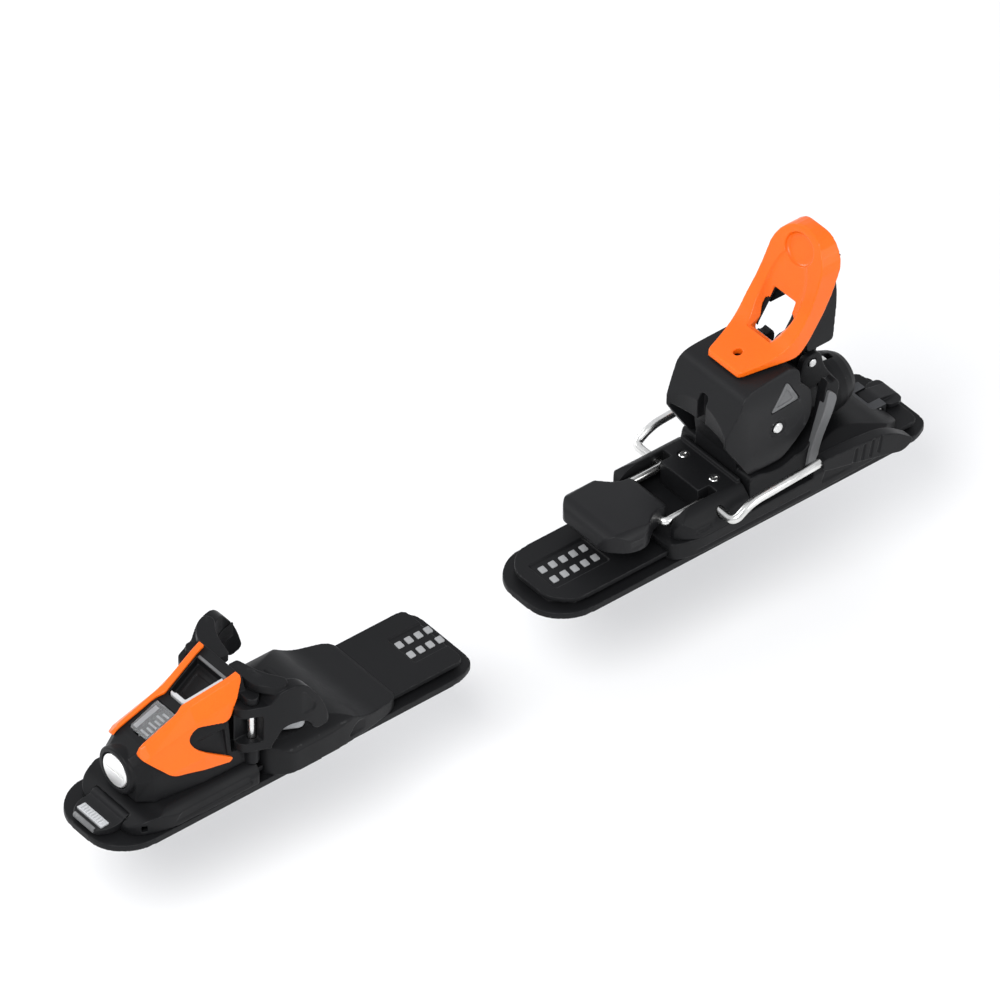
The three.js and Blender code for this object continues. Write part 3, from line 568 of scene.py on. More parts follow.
STEM_SIDE = [
    (61, 72, 4), (66, 69, 5), (74, 72, 5), (79, 90, 10), (83, 118, 12), (81, 138, 6), (76, 143, 4), (73, 140, 4),
    (74, 124, 10), (72.6, 108, 10), (64, 90, 6), (62, 80, 3),
]


FRAME_SIDE = [
    (75, 140, 3), (78, 138, 4), (79, 122, 10), (77, 92, 3), (58, 92, 3), (58, 104, 4), (69, 121, 8), (72, 134, 6),
]


def lever_stem():
    """The black frame behind the lever: a bar from its hinge up to a bridge, with a plate on either side."""
    stem = Shape(slab("side", STEM_SIDE, -6.4, 6.4, 12))
    frame_plates = Shape(slab("side", FRAME_SIDE, -18.2, 18.2, 10)).cut(block((-14.4, 14.4), (50, 90), (80, 132)))
    frame_plates.cut(block((-20, -14), (50, 90), (80, 106)))
    frame_plates.keep(slab("front", mirrored([(18.2, 80), (18.2, 128, 8), (13, 150)]), 40, 100, 8))
    stem.add(frame_plates).cut(bar("x", 2.8, -20, 20, LEVER_AXIS))
    for sign in (-1, 1):
        groove = [(70, 84, 3), (74, 84, 3), (78, 118, 4), (76, 132, 3), (73, 128, 3)]
        stem.cut(slab("side", groove, sign * 5.4, sign * 12, 8))
    return stem


def heel_cup():
    """The step-in jaw: a curved front over the boot heel, two cheeks, and the slot down its middle."""
    y, z = CUP_AXIS
    side = [
        (-6, LIP, 1.5), (-5.4, 66, 3), (6.4, 90.4, 9), (14, 92.6, 5), (44, 94.4, 6), (54, 76, 10), (55, 55, 10),
        (34, 33.6, 6), (11, 34.6, 3),
    ]
    cup = Shape(slab("side", side, -28, 28, 12))
    shadow = Shape(bar("x", 27.6, -40, 40, (y, z), sides=96))
    shadow.add(block((-40, 40), (-10, 46), (58, 100)), block((-40, 40), (-10, 31), (30, 60)))
    cup.keep(shadow)
    cup.keep(slab("front", mirrored([(26.6, 33, 3), (28, 44, 8), (28, 84, 8), (25.2, 95, 4)]), -20, 70, 10))
    cup.keep(slab("plan", mirrored([(24.4, -8, 5), (28, 4, 8), (28, 60)]), 20, 110, 10))
    cup.cut(slab("side", [(5.3, -5), (5.3, z), (60, z), (60, -5)], -22.7, 22.7))
    cup.cut(block((-22.7, 22.7), (-10, 8), (20, LIP)))
    cup.cut(bar("x", 25, -22.7, 22.7, (y, z), sides=96))
    cup.cut(slab("side", [(20, 60), (30, 84, 4), (44, 80, 3), (44, 100), (70, 100), (70, 60)], -22.7, 22.7))
    cup.cut(bar("z", 80, 40, 100, (0, -81), sides=200))
    cup.cut(slab("front", mirrored([(3.4, 50), (3.4, 80, 3)]), -14, 4.2))
    cup.cut(slab("front", mirrored([(6.4, 50), (6.4, 60, 2), (3.4, 70, 1)]), -14, -1.6))
    cup.cut(bar("x", 3.5, -40, 40, CUP_AXIS))
    for sign in (-1, 1):
        cup.cut(cheek_triangle(sign, 0, 1.1))
        cup.cut(bar("x", 5.6, sign * 27.3, sign * 30, CUP_AXIS))
    return cup


TRIANGLE = [(24, 71, 3), (46, 72.5, 3), (36.5, 89.5, 3)]


def cheek_triangle(sign, inset, depth):
    """The three-cornered recess on the cheek, or its floor plate when inset is above 0."""
    centre = sum((Vector(c[:2]) for c in TRIANGLE), Vector((0, 0))) / 3
    outline = []
    for u, v, cut in TRIANGLE:
        corner = Vector((u, v))
        corner -= (corner - centre).normalized() * inset
        outline.append((corner.x, corner.y, cut))
    return slab("side", outline, sign * (28 - depth), sign * 30, 8)


def cheek_plate(sign):
    """A plate that stands in the cheek's recess, hollowed along its middle; its lighter grey rim is a painted highlight
    round the recess.
    """
    plate = Shape(cheek_triangle(sign, 0.9, 1.3)).keep(block(sorted((sign * 26.6, sign * 27.7)), (20, 50), (70, 95)))
    plate.cut(cheek_triangle(sign, 5.2, 0.9))
    return plate


def heel_housing():
    """The heel body: the column behind the cup, its flared sides, the spring barrel and the lever's lugs."""
    z = CUP_AXIS[1]
    column_side = [(9, 16), (10, 40), (6.6, z), (54, z), (70, 48), (66, 16)]
    body = Shape(slab("side", column_side, -17, 17))
    body.add(bar("x", 24, -17, 17, CUP_AXIS, sides=96))
    flare_side = [
        (9, 16), (10.5, 34, 3), (50, 34, 3), (57, 42, 4), (62, 72, 4), (66, 79, 4), (73, 72, 5), (56, 23, 4), (50, 16),
    ]
    flare = Shape(slab("side", flare_side, -34, 34, 10))
    flare.keep(slab("front", mirrored([(31, 15), (28.6, 34, 8), (31.5, 60, 10), (29.6, 80, 6)]), 0, 80, 10))
    flare.cut(block((-24, 24), (0, 80), (50, 95)), bar("x", 28.5, -40, 40, CUP_AXIS, sides=96))
    body.add(flare)
    barrel = [
        (0.5, 50), (BARREL_RADIUS, 50), (BARREL_RADIUS, BARREL_REAR - 15), (BARREL_RADIUS - 0.9, BARREL_REAR - 9.5),
        (BARREL_RADIUS - 3, BARREL_REAR - 4), (12.9, BARREL_REAR - 0.6), (12.3, BARREL_REAR), (0.5, BARREL_REAR),
    ]
    body.add(lathe("y", barrel, (0, BARREL_Z), 96))
    lug_side = [(50, 60), (58, 70, 6), (61.6, 82.6, 5), (73, 83, 7), (76, 70, 8), (84, 58)]
    lugs = Shape(slab("side", lug_side, -13, 13, 10))
    lugs.cut(block((-8.6, 8.6), (40, 90), (64.5, 90)))
    body.add(lugs)
    body.cut(slab("side", [(51.4, 4), (51.4, 16), (55.6, 25.5), (84, 29.6, 8), (112, 22.6), (112, 4)], -40, 40))
    body.cut(bar("y", 11, 58, 110, (0, BARREL_Z)))
    body.cut(block((-2.4, 2.4), (78, 92), (50, 70)))
    body.cut(bar("x", 3.5, -40, 40, CUP_AXIS), bar("x", 2.8, -40, 40, LEVER_AXIS))
    for at in (-1, 1):
        rib = [(56, 40, 2), (62, 40, 2), (66, 64, 2), (62, 62, 2)]
        body.cut(slab("side", rib, at * 30.6, at * 36, 6))
    ring = Shape(lathe("y", [(20, 71), (20, 72.4)], (0, BARREL_Z))).cut(bar("y", 17.2, 60, 80, (0, BARREL_Z)))
    body.cut(ring)
    return body


def rear_band(sign):
    """A moulded band up the rear edge of the housing's side, lighter grey as a painted highlight for the light that
    falls on that facet.
    """
    band = Shape(slab("side", [(49, 22, 2), (56, 24, 3), (69, 66, 4), (63, 72, 3)], sign * 27.4, sign * 34.2, 8))
    front = [(20, 15), (32.8, 15), (30.6, 36, 8), (33.4, 60, 8), (31.6, 80, 6), (20, 80)]
    band.keep(slab("front", sided(sign, front), 0, 90, 8))
    return band


def brake_housing():
    side = [(-41, 16), (-41, 25, 7), (-31, 31.2, 8), (8, 31, 2), (8, 16)]
    front = mirrored([(34.5, 15), (33.6, 22, 6), (25, 31.8, 6)])
    body = Shape(slab("side", side, -40, 40, 12))
    plan = mirrored([(26, -43, 8), (35, -29, 9), (35, 9)])
    body.keep(slab("front", front, -60, 20, 12), slab("plan", plan, 0, 50, 12))
    body.add(slab("side", [(4.6, 30), (5.4, 33, 1), (7.8, 33, 1), (7.8, 30)], -24, 24))
    body.cut(slab("plan", mirrored([(22.6, -50), (22.6, -16, 2)]), 10, 40))
    for sign in (-1, 1):
        body.cut(block(sorted((sign * 16, sign * 22.6)), (-17, -8), (10, 40)))
        body.cut(bar("x", 2.9, sign * 20, sign * 40, (-12, 24)))
        body.cut(bar("z", 1.9, 20, 32, (sign * 13, -2)), bar("z", 3, 29.2, 34, (sign * 13, -2)))
        body.cut(slab("side", [(-36, 19, 2), (-30, 27, 3), (-22, 27, 3), (-20, 19, 2)], sign * 33, sign * 40, 8))
        body.cut(slab("side", [(-3, 18, 2), (-1, 26, 3), (6, 26, 2), (6, 18, 2)], sign * 33.2, sign * 40, 8))
    body.cut(block((-17, 17), (-6.3, -5.7), (30.4, 33)), block((-17, 17), (1.6, 2.2), (30.4, 33)))
    return body


def brake_pedal():
    plan = mirrored([(17, -86, 12), (26.5, -73, 12), (26.5, -60, 8), (15.6, -47, 6), (15.4, -35, 6)])
    side = [(-86, 24.6, 3), (-84, 33, 4), (-79, 35.8, 5), (-58, 34.4, 12), (-35, 31, 5), (-35, 20.6, 4), (-56, 20, 5)]
    pad = Shape(slab("plan", plan, 10, 50, 12))
    front = mirrored([(26.5, 18, 3), (26.5, 31, 5), (21, 36.4, 5)])
    pad.keep(slab("side", side, -30, 30, 12), slab("front", front, -90, -30, 10))
    pad.cut(bar("x", 2.9, -15.4, 15.4, (-42, 24)))
    for sign in (-1, 1):
        pad.cut(slab("side", [(-80, 25, 2), (-76, 30, 2), (-62, 29, 2), (-60, 24, 2)], sign * 25.9, sign * 30, 6))
    return pad


def brake_wire(sign):
    path = bent_path(
        [
            (sign * 1, -42, 24, 0),
            (sign * 19, -42, 24, 4),
            (sign * 19, -12, 24, 3.4),
            (sign * 42, -12, 24, 5),
            (sign * 42, 0, 31.5, 7),
            (sign * 42, 49, 34, 0),
        ],
        12,
    )
    return Shape(wire(path, 2.6))


def brake_tip(sign):
    side = [(49.4, 29.6, 3), (49.4, 37.4, 3), (72, 36.4, 10), (98, 33, 12), (116, 19.4, 9), (108, 14, 7), (84, 21, 14)]
    start, end = sorted((sign * 38.6, sign * 45.6))
    tip = Shape(slab("side", side, start, end, 14))
    for i in range(4):
        y = 70 + i * 6
        tip.cut(slab("side", [(y, 24, 1), (y + 2.4, 34, 1), (y + 4, 34, 1), (y + 2, 22, 1)], sign * 44.9, sign * 47, 5))
    return tip


def heel_base():
    tail = [(52, 15.6), (56, 25, 5), (84, 29.4, 20), (112, 22, 12), (124, 13, 6), (124, 4.4)]
    side = [(-46, 4.4), (-46, 15.6, 3), *tail]
    plan = mirrored([(29, -46, 6), (34, -30, 12), (34, 60, 16), (32, 106, 12), (23, 124, 8)])
    crown = mirrored([(36, 4), (34, 19, 6), (26, 25.6, 8), (14, 31, 8)])
    base = Shape(slab("side", side, -40, 40, 14))
    base.keep(slab("plan", plan, 0, 40, 12), slab("front", crown, -60, 130, 12))
    channel = mirrored([(22.4, -1), (22.4, 6.6), (26.4, 6.6), (26.4, 10.4)])
    base.cut(slab("front", channel, -50, 130))
    base.cut(block((-13, 13), (58, 125), (9, 18.6)), block((-13, 13), (112, 126), (17, 24)))
    for sign in (-1, 1):
        dent = [(58, 9, 2), (62, 19, 4), (92, 20, 6), (104, 11, 3), (98, 8, 2)]
        base.cut(slab("side", dent, sign * 33, sign * 40, 8))
        base.cut(slab("side", [(-40, 7, 1), (-40, 8.2), (50, 8.2), (50, 7, 1)], sign * 33.3, sign * 40))
    return base


def heel_fittings():
    """Screws, pins and the release screw: turned pieces with their slots."""
    screw = Shape(bar("y", 9, 95, BARREL_REAR - 1, (0, BARREL_Z), 0.6))
    screw.add(bar("y", 3.2, 69, 95.5, (0, BARREL_Z)))
    screw.cut(block((-7, 7), (BARREL_REAR - 2.6, BARREL_REAR), (BARREL_Z - 0.9, BARREL_Z + 0.9)))
    hard("heel_release_screw_head", screw, HEEL, "heel_screw", ["heel_release_screw"], STEEL)
    pin = Shape(bar("x", 3.2, -28.6, 28.6, CUP_AXIS, 0.5))
    hard("heel_cup_rivet", pin, HEEL, "heel_carriage", ["heel_cup_pin"], PIN, 0)
    lever_pin = Shape(bar("x", 2.5, -13.8, 13.8, LEVER_AXIS, 0.4))
    hard("lever_rivet", lever_pin, HEEL, "heel_carriage", ["lever_pin"], PIN, 0)
    for side, sign in SIDES.items():
        top = Shape(bar("z", 2.6, 29.4, 31, (sign * 13, -2), 0.35)).add(bar("z", 1.6, 21.8, 29.6, (sign * 13, -2)))
        top.cut(block((sign * 13 - 0.5, sign * 13 + 0.5), (-4.2, 0.2), (30.2, 32)))
        name = f"brake_housing_screw_{side}"
        hard(name + "_head", top, HEEL, "heel_carriage", [name], STEEL, 0)


def add_heel():
    moulded("heel_lever_shell", heel_lever(), HEEL, "heel_lever", ["heel_lever"], ORANGE, 0.3, 16)
    moulded("heel_lever_lining", lever_liner(), HEEL, "heel_lever", [], SHADE_BLACK, 0.25, 3)
    moulded("lever_stem_bar", lever_stem(), HEEL, "heel_lever", ["lever_stem"], BLACK, 0.35)
    moulded("heel_cup_jaw", heel_cup(), HEEL, "heel_cup", ["heel_cup"], GREY, 0.35)
    moulded("heel_body", heel_housing(), HEEL, "heel_carriage", ["heel_housing"], BLACK, 0.4)
    moulded("brake_block", brake_housing(), HEEL, "heel_carriage", ["brake_housing"], BLACK, 0.35)
    moulded("brake_pad", brake_pedal(), HEEL, "brake_pedal", ["brake_pedal"], GREY, 0.35, 12)
    moulded("heel_slide", heel_base(), HEEL, "heel_carriage", ["heel_base"], BLACK, 0.45)
    for side, sign in SIDES.items():
        moulded(f"heel_band_{side}", rear_band(sign), HEEL, "heel_carriage", [], HIGHLIGHT_GREY, 0.3, 4)
        moulded(f"brake_shoe_{side}", brake_tip(sign), HEEL, "brake_arms", [f"brake_tip_{side}"], BLACK, 0.3)
        hard(f"brake_rod_{side}", brake_wire(sign), HEEL, "brake_arms", [f"brake_wire_{side}"], WIRE, 0, 60)
        hard(f"cheek_plate_{side}", cheek_plate(sign), HEEL, "heel_cup", [], HIGHLIGHT_GREY, 0.15)
    heel_fittings()


add_heel()


# ---------------------------------------------------------------- toe unit

CARRIAGE_TOP = 17
SCREW_Z = 32
WING_AXIS = (25, -28)
SLOPE_LOW = Vector((-88, 49.5))
SLOPE_HIGH = Vector((-28, 71))


def slope_at(y):
    """The height of the toe housing's sloping top."""
    return SLOPE_LOW.y + (SLOPE_HIGH.y - SLOPE_LOW.y) * (y - SLOPE_LOW.x) / (SLOPE_HIGH.x - SLOPE_LOW.x)


def toe_form(grow):
    """The toe housing's outer form; grow moves its sides and top outward."""
    floor = CARRIAGE_TOP + 0.4
    front, rear = -97 - grow, SLOPE_HIGH.x
    keys = [
        (front, [(13.5, floor, 1, 0), (14.3, 30, 1, 0), (12, 40, 1, 0.3), (8, 44, 0.3, 1)]),
        (-89, [(20, floor, 1, 0), (19, 33, 1, 0), (14.6, 45, 0.9, 0.6), (11, slope_at(-89), 0.3, 1)]),
        (-59, [(24, floor, 1, 0), (22, 35, 1, 0), (15.6, 53, 0.8, 0.6), (11, slope_at(-59), 0.3, 1)]),
        (-35, [(24.5, floor, 1, 0), (22, 41, 1, 0), (19.4, 60, 0.9, 0.5), (16, slope_at(-35), 0.3, 1)]),
        (rear, [(24.5, floor, 1, 0), (22, 42, 1, 0), (20, 64, 0.9, 0.5), (17, slope_at(rear), 0.3, 1)]),
    ]
    rings = []
    for y, half in keys:
        right = [(x + grow * out, z + grow * up) for x, z, out, up in half]
        full = right + [(-x, z) for x, z in reversed(right)]
        rings.append([(x, y, z) for x, z in full])
    return skin(rings)


def slope_plate(ys, halves, depths, cut=0):
    """A plate parallel to the housing's sloping top, between two depths above or below it."""
    outline = rounded(mirrored([(halves[0], ys[0], cut), (halves[1], ys[1], cut)]), 6)
    return skin([[(p.x, p.y, slope_at(p.y) + depth) for p in outline] for depth in depths])


def toe_housing():
    body = Shape(toe_form(0))
    collar = [(13.2, -100.5), (14, -99.6), (14, -90), (0.5, -90)]
    body.add(lathe("y", [(0.5, -100.5), *collar], (0, SCREW_Z), 96))
    for sign in (-1, 1):
        lug = sided(sign, [(12, -31), (27, -32.6, 4), (30.2, -28, 4), (26, -22.8, 4), (12, -25)])
        body.add(slab("plan", lug, CARRIAGE_TOP + 0.4, 27.8, 10))
        body.add(slab("plan", lug, 58.6, 63, 10))
    for sign in (-1, 1):
        room = sided(sign, [(15, -40, 5), (34, -40), (34, -20), (15, -20)])
        body.cut(slab("plan", room, 27.8, 58.6, 8))
        body.cut(bar("z", 2.3, 10, 61.9, (sign * WING_AXIS[0], WING_AXIS[1])))
        pocket = sided(sign, [(23, 26, 3), (30, 30), (30, 44), (18, 44, 3)])
        body.cut(Shape(slab("front", pocket, -60, -43, 8)))
    body.cut(slope_plate((-59.4, -34.6), (6.6, 12.2), (-5.2, 6), 1.6))
    body.cut(slope_plate((-85, -65), (7.5, 8.5), (-2.0, 6), 1))
    bore = [(10.8, -102), (10.8, -97.25), (3.4, -97.2), (3.4, -92), (8.2, -91.9), (8.2, -45)]
    body.cut(lathe("y", bore, (0, SCREW_Z), 72))
    body.cut(block((-12.6, 12.6), (-45.7, -27), (26.1, 37.9)), block((-2.4, 2.4), (-86, -69), (34, 60)))
    return body


PANEL_SIDE = [
    (-94, 46, 2), (-88, 56, 2), (-29, 78), (-29.8, 70), (-40.8, 50, 4), (-60, 52, 4), (-66, 47, 3.5),
    (-62.6, 40.5, 3.5), (-40.5, 26, 2.5), (-43, 24.2, 2), (-78, 30.5, 4),
]
PANEL_PLAN = [
    (34, -95), (34, -26), (13.9, -26), (12.9, -35), (7.6, -58, 1), (6.9, -61, 1), (9, -66, 3), (9.4, -88), (9.8, -95),
]


def side_panel(sign):
    """The orange chevron on the housing's side: a skin that stands 1.8 mm proud of it."""
    panel = Shape(toe_form(2.2)).cut(toe_form(0.4))
    panel.keep(slab("side", PANEL_SIDE, *sorted((sign * 4, sign * 40)), 10))
    panel.keep(slab("plan", sided(sign, PANEL_PLAN), 0, 90, 8))
    return panel


def top_trim():
    """The light edging round the near and front sides of the recess in the housing's top."""
    trim = Shape(slope_plate((-58.6, -35.6), (6, 11.4), (-4.6, 0.1), 1.4))
    trim.cut(slope_plate((-56.4, -32), (4.6, 10.4), (-8, 6), 1))
    trim.cut(block((-20, -3.4), (-57, -20), (30, 90)))
    return trim


def recess_floor():
    """A stepped floor inside the recess, in a near-black that paints the shade there."""
    floor = Shape(slope_plate((-55, -37), (5, 9.4), (-5.1, -4.2), 1.5))
    floor.cut(slope_plate((-52.6, -39.6), (3.6, 7), (-4.8, 0), 1.5))
    return floor


def scale_strip():
    """The floor of the release scale's window, in a near-black that paints the shade under the cover."""
    return Shape(slope_plate((-84.2, -65.8), (6.8, 7.8), (-1.95, -1.66), 0.8))


def sloped_bar(x, y, depths):
    """A straight-sided bar lying parallel to the housing's sloping top."""
    corners = [(x[0], y[0]), (x[1], y[0]), (x[1], y[1]), (x[0], y[1])]
    return skin([[(u, v, slope_at(v) + depth) for u, v in corners] for depth in depths])


def scale_print():
    """The release scale: a broad light bar, and a ladder of ticks beside it."""
    marks = Shape(sloped_bar((-6.4, -3.4), (-82.8, -67.6), (-1.7, -1.4)))
    for i in range(6):
        y = -82.6 + i * 2.7
        marks.add(sloped_bar((1.2 if i % 2 else -0.6, 5.8), (y, y + 1.1), (-1.7, -1.4)))
    return marks


def rear_edge():
    """An edge across the rear of the recess, pale grey as a painted highlight where the recess wall catches the light.
    """
    return Shape(slope_plate((-35.3, -33.9), (11.6, 11.8), (-0.6, 0.25), 0.4))


WING_PLAN = [
    (18, -24.4, 3), (17.4, -34, 4), (22, -38.4, 5), (28.4, -36.4, 6), (36.4, -17, 10), (39.6, -4, 10), (40, 13, 4),
    (35.6, 14, 3), (34.4, 2, 8), (30.4, -8, 8), (24, -17, 6),
]
WING_SIDE = [
    (-39, 28.2), (-39, 58.2, 4), (-22.4, 58.2, 1), (-17, 66, 6), (-4, 68, 12), (8, 52, 9), (14, 33, 4), (4, 31, 4),
    (-1, 41, 6), (-15, 42, 6), (-21.4, 30, 2), (-21.6, 28.2),
]
WING_BROW = [
    (3.2, -27.2, 2), (24, -26.8, 5), (33, -20, 8), (36.4, -12, 5), (31, -9, 3), (20, -16.5, 9), (3.2, -20.6, 2),
]


def toe_wing(sign):
    """A toe wing: the hub round its pin, the ear along the boot's side, and the brow over its toe."""
    x, y = WING_AXIS
    wing = Shape(slab("plan", sided(sign, WING_PLAN), 20, 80, 12))
    wing.keep(slab("side", WING_SIDE, -60, 60, 12))
    wing.add(slab("plan", sided(sign, WING_BROW), 63.4, 69, 12))
    wing.cut(bar("z", 2.5, 10, 63.2, (sign * x, y)))
    gap = [(y - 14, 34), (y + 2.2, 34, 2), (y + 2.2, 52, 2), (y - 14, 52)]
    wing.cut(slab("side", gap, sign * (x - 3), sign * (x + 10)))
    pad_seat = sided(sign, [(29, -13), (31, -9.6), (34.8, -2), (36, 7), (30, 7)])
    wing.cut(slab("plan", pad_seat, 45, 55))
    wing.cut(slab("side", [(-14, 47, 3), (-10, 61, 4), (-3, 62, 4), (4, 50, 3), (3, 46, 3)], sign * 39.1, sign * 44, 8))
    return wing


def wing_pad(sign):
    plan = [(29.6, -9.8), (30.6, -9), (34.2, -2), (35.4, 6.4), (34.2, 6.4), (32.8, -2)]
    return Shape(slab("plan", sided(sign, plan), 45.4, 54.6))


def sole_platform():
    side = [
        (-22.6, 4.4), (-22.6, 26, 2), (16, 26, 12), (31, 22.4, 14), (44, 14.5, 14), (70, 11.2, 4), (70, 4.4),
    ]
    plan = mirrored([(26, -22.6, 5), (36.4, -12, 14), (36.4, 30, 24), (29, 70, 10)])
    crown = mirrored([(38, 3), (37.4, 19, 5), (26, 26.4, 12)])
    body = Shape(slab("side", side, -40, 40, 14))
    body.keep(slab("plan", plan, 0, 40, 14), slab("front", crown, -30, 80, 12))
    channel = mirrored([(22.4, -1), (22.4, 6.6), (26.4, 6.6), (26.4, 10.4)])
    body.cut(slab("front", channel, -30, 80), block((-50, 50), (-27, 71), (0, 4.4)))
    body.cut(slab("plan", mirrored([(17, -30), (36, 3, 4), (33, 9.6, 4)]), 24.4, 40))
    for i in range(3):
        y = 15 + i * 4
        groove = [(y, 25.4), (y + 0.5, 24.9), (y + 1.1, 24.9), (y + 1.6, 25.4), (y + 1.6, 30), (y, 30)]
        body.cut(slab("side", groove, -20, 20))
    for sign in (-1, 1):
        dent = [(30, 8, 2), (36, 16, 4), (52, 11.4, 3), (56, 7.4, 2)]
        body.cut(slab("side", dent, sign * 34, sign * 44, 8))
    return body


def glide_plate():
    plate = Shape(slab("plan", mirrored([(15, -21.6, 4), (28.5, 3.4, 5), (25.5, 8.2, 3)]), 24.8, 29, 10))
    for i in range(5):
        y = -16 + i * 4.2
        plate.cut(slab("side", [(y, 28.5), (y + 0.9, 28.5), (y + 0.9, 31), (y, 31)], -12, 12))
    return plate


def toe_carriage():
    side = [
        (-108, 4.4), (-108, 8.4, 3), (-101, 13.4, 8), (-92, 14.8, 6), (-88, CARRIAGE_TOP, 3), (-27, CARRIAGE_TOP, 2),
        (-27, 4.4),
    ]
    plan = mirrored([(23, -108, 9), (31, -88, 14), (31.6, -27, 2)])
    body = Shape(slab("side", side, -32, 32, 12)).keep(slab("plan", plan, 0, 30, 12))
    body.keep(slab("front", mirrored([(32, 3), (31.6, 12, 4), (27, 17.2, 3)]), -120, 0, 10))
    channel = mirrored([(22.4, -1), (22.4, 6.6), (26.4, 6.6), (26.4, 10.4)])
    body.cut(slab("front", channel, -102, -20), block((-26.4, 26.4), (-110, -96), (0, 4.4)))
    body.cut(block((-14.6, 14.6), (-112, -103), (0, 25)), bar("x", 4, -14.5, 14.5, (-103, 8.6)))
    body.cut(bar("x", 2, 14, 19, (-103, 8.6)), bar("x", 2, -19, -14, (-103, 8.6)))
    for sign in (-1, 1):
        body.cut(slab("side", [(-84, 7, 2), (-80, 12.6, 2), (-34, 12.6, 2), (-32, 7, 2)], sign * 30.6, sign * 40, 6))
    return body


def toe_latch():
    side = [(-122, 4.6, 1), (-122, 8.2, 3), (-108, 9.4, 6), (-103, 11, 3), (-103, 5.6, 1), (-108, 4.6, 1)]
    latch = Shape(slab("side", side, -20, 20, 10))
    latch.add(bar("x", 3.6, -14.2, 14.2, (-103, 8.6)))
    latch.keep(slab("plan", mirrored([(9.6, -122, 5), (14.2, -115, 6), (14.2, -99)]), 0, 20, 10))
    latch.cut(block((-10.8, 10.8), (-118.4, -112.2), (7, 20)), bar("x", 2, -19, 19, (-103, 8.6)))
    return latch


def latch_grip():
    grip = Shape(block((-10.4, 10.4), (-118, -112.6), (7.4, 9.2)))
    for i in range(9):
        x = -9.2 + i * 2.1
        grip.add(slab("side", [(-117.4, 9), (-117, 10, 0.4), (-113.6, 10, 0.4), (-113.2, 9)], x, x + 1.1, 4))
    return grip


def latch_lip():
    """A lip along the latch's front edge, light grey as a painted highlight on that edge."""
    return Shape(slab("side", [(-122.3, 6.0), (-122.3, 8.0, 0.6), (-120.4, 8.9, 0.5), (-120.4, 6.0)], -8.6, 8.6, 5))


RAIL_SCREWS = {
    "toe": [(16, -50), (-16, -50), (16, 40), (-16, 40)],
    "heel": [(16, -30), (-16, -30), (16, 70), (-16, 70)],
}
RACK_START = {"toe": -94, "heel": 90}
RACK_TEETH, RACK_PITCH = 8, 5


def rail(front, rear, head_front, screws, marks, rack):
    """A plastic rail: the flange on the ski, the waisted web, and the toothed head that the unit hooks round."""
    nose = mirrored([(17, front, 10), (31, front + 16, 14), (31, rear - 12, 7), (25, rear, 6)])
    web = mirrored([(12, head_front + 3), (22, head_front + 13), (22, rear - 10)])
    head = mirrored([(14, head_front, 6), (26, head_front + 11, 9), (26, rear - 7, 5)])
    body = Shape(slab("plan", nose, 0, 4, 12))
    body.add(slab("plan", web, 3, 8, 8), slab("plan", head, 7, 10, 10))
    body.cut(slab("plan", mirrored([(12, marks[0], 2), (12, marks[1], 2)]), 9.2, 12, 6))
    for x, y in screws:
        body.cut(bar("z", 3.9, 8, 12, (x, y)), bar("z", 2.4, -1, 9, (x, y)))
    for i in range(RACK_TEETH):
        y = rack + i * RACK_PITCH
        body.cut(block((-7, 7), (y, y + RACK_PITCH / 2), (8, 12)))
    return body


def scale_marks(start, count, pitch):
    """Two rows of light position marks set in the rail's recess."""
    marks = None
    for row in (-5, 5):
        for i in range(count):
            y = start + i * pitch
            left, right = row - 2.5, row + 2.5
            outline = [(left, y - 1.8, 0.7), (right, y - 2.3, 0.7), (right, y + 1.8, 0.7), (left, y + 2.3, 0.7)]
            mark = Shape(slab("plan", outline, 8.9, 9.75, 4))
            marks = mark if marks is None else marks.add(mark)
    return marks


def toe_fittings():
    """The release screw, the wings' pins and the latch's pin."""
    screw = Shape(bar("y", 10, -101, -97.6, (0, SCREW_Z), 0.7, 96)).add(bar("y", 3, -98, -55, (0, SCREW_Z)))
    screw.cut(block((-7.2, 7.2), (-102, -99.9), (SCREW_Z - 0.8, SCREW_Z + 0.8)))
    hard("toe_release_screw_head", screw, TOE, "toe_screw", ["toe_release_screw"], DISC)
    latch_pin = Shape(bar("x", 1.7, -18.5, 18.5, (-103, 8.6), 0.3))
    hard("toe_latch_rivet", latch_pin, TOE, "toe_carriage", ["toe_latch_pin"], PIN, 0)
    for side, sign in SIDES.items():
        pin = Shape(bar("z", 2.2, 19, 61.7, (sign * WING_AXIS[0], WING_AXIS[1]), 0.4))
        hard(f"wing_rivet_{side}", pin, TOE, "toe_carriage", [f"wing_pin_{side}"], PIN, 0)


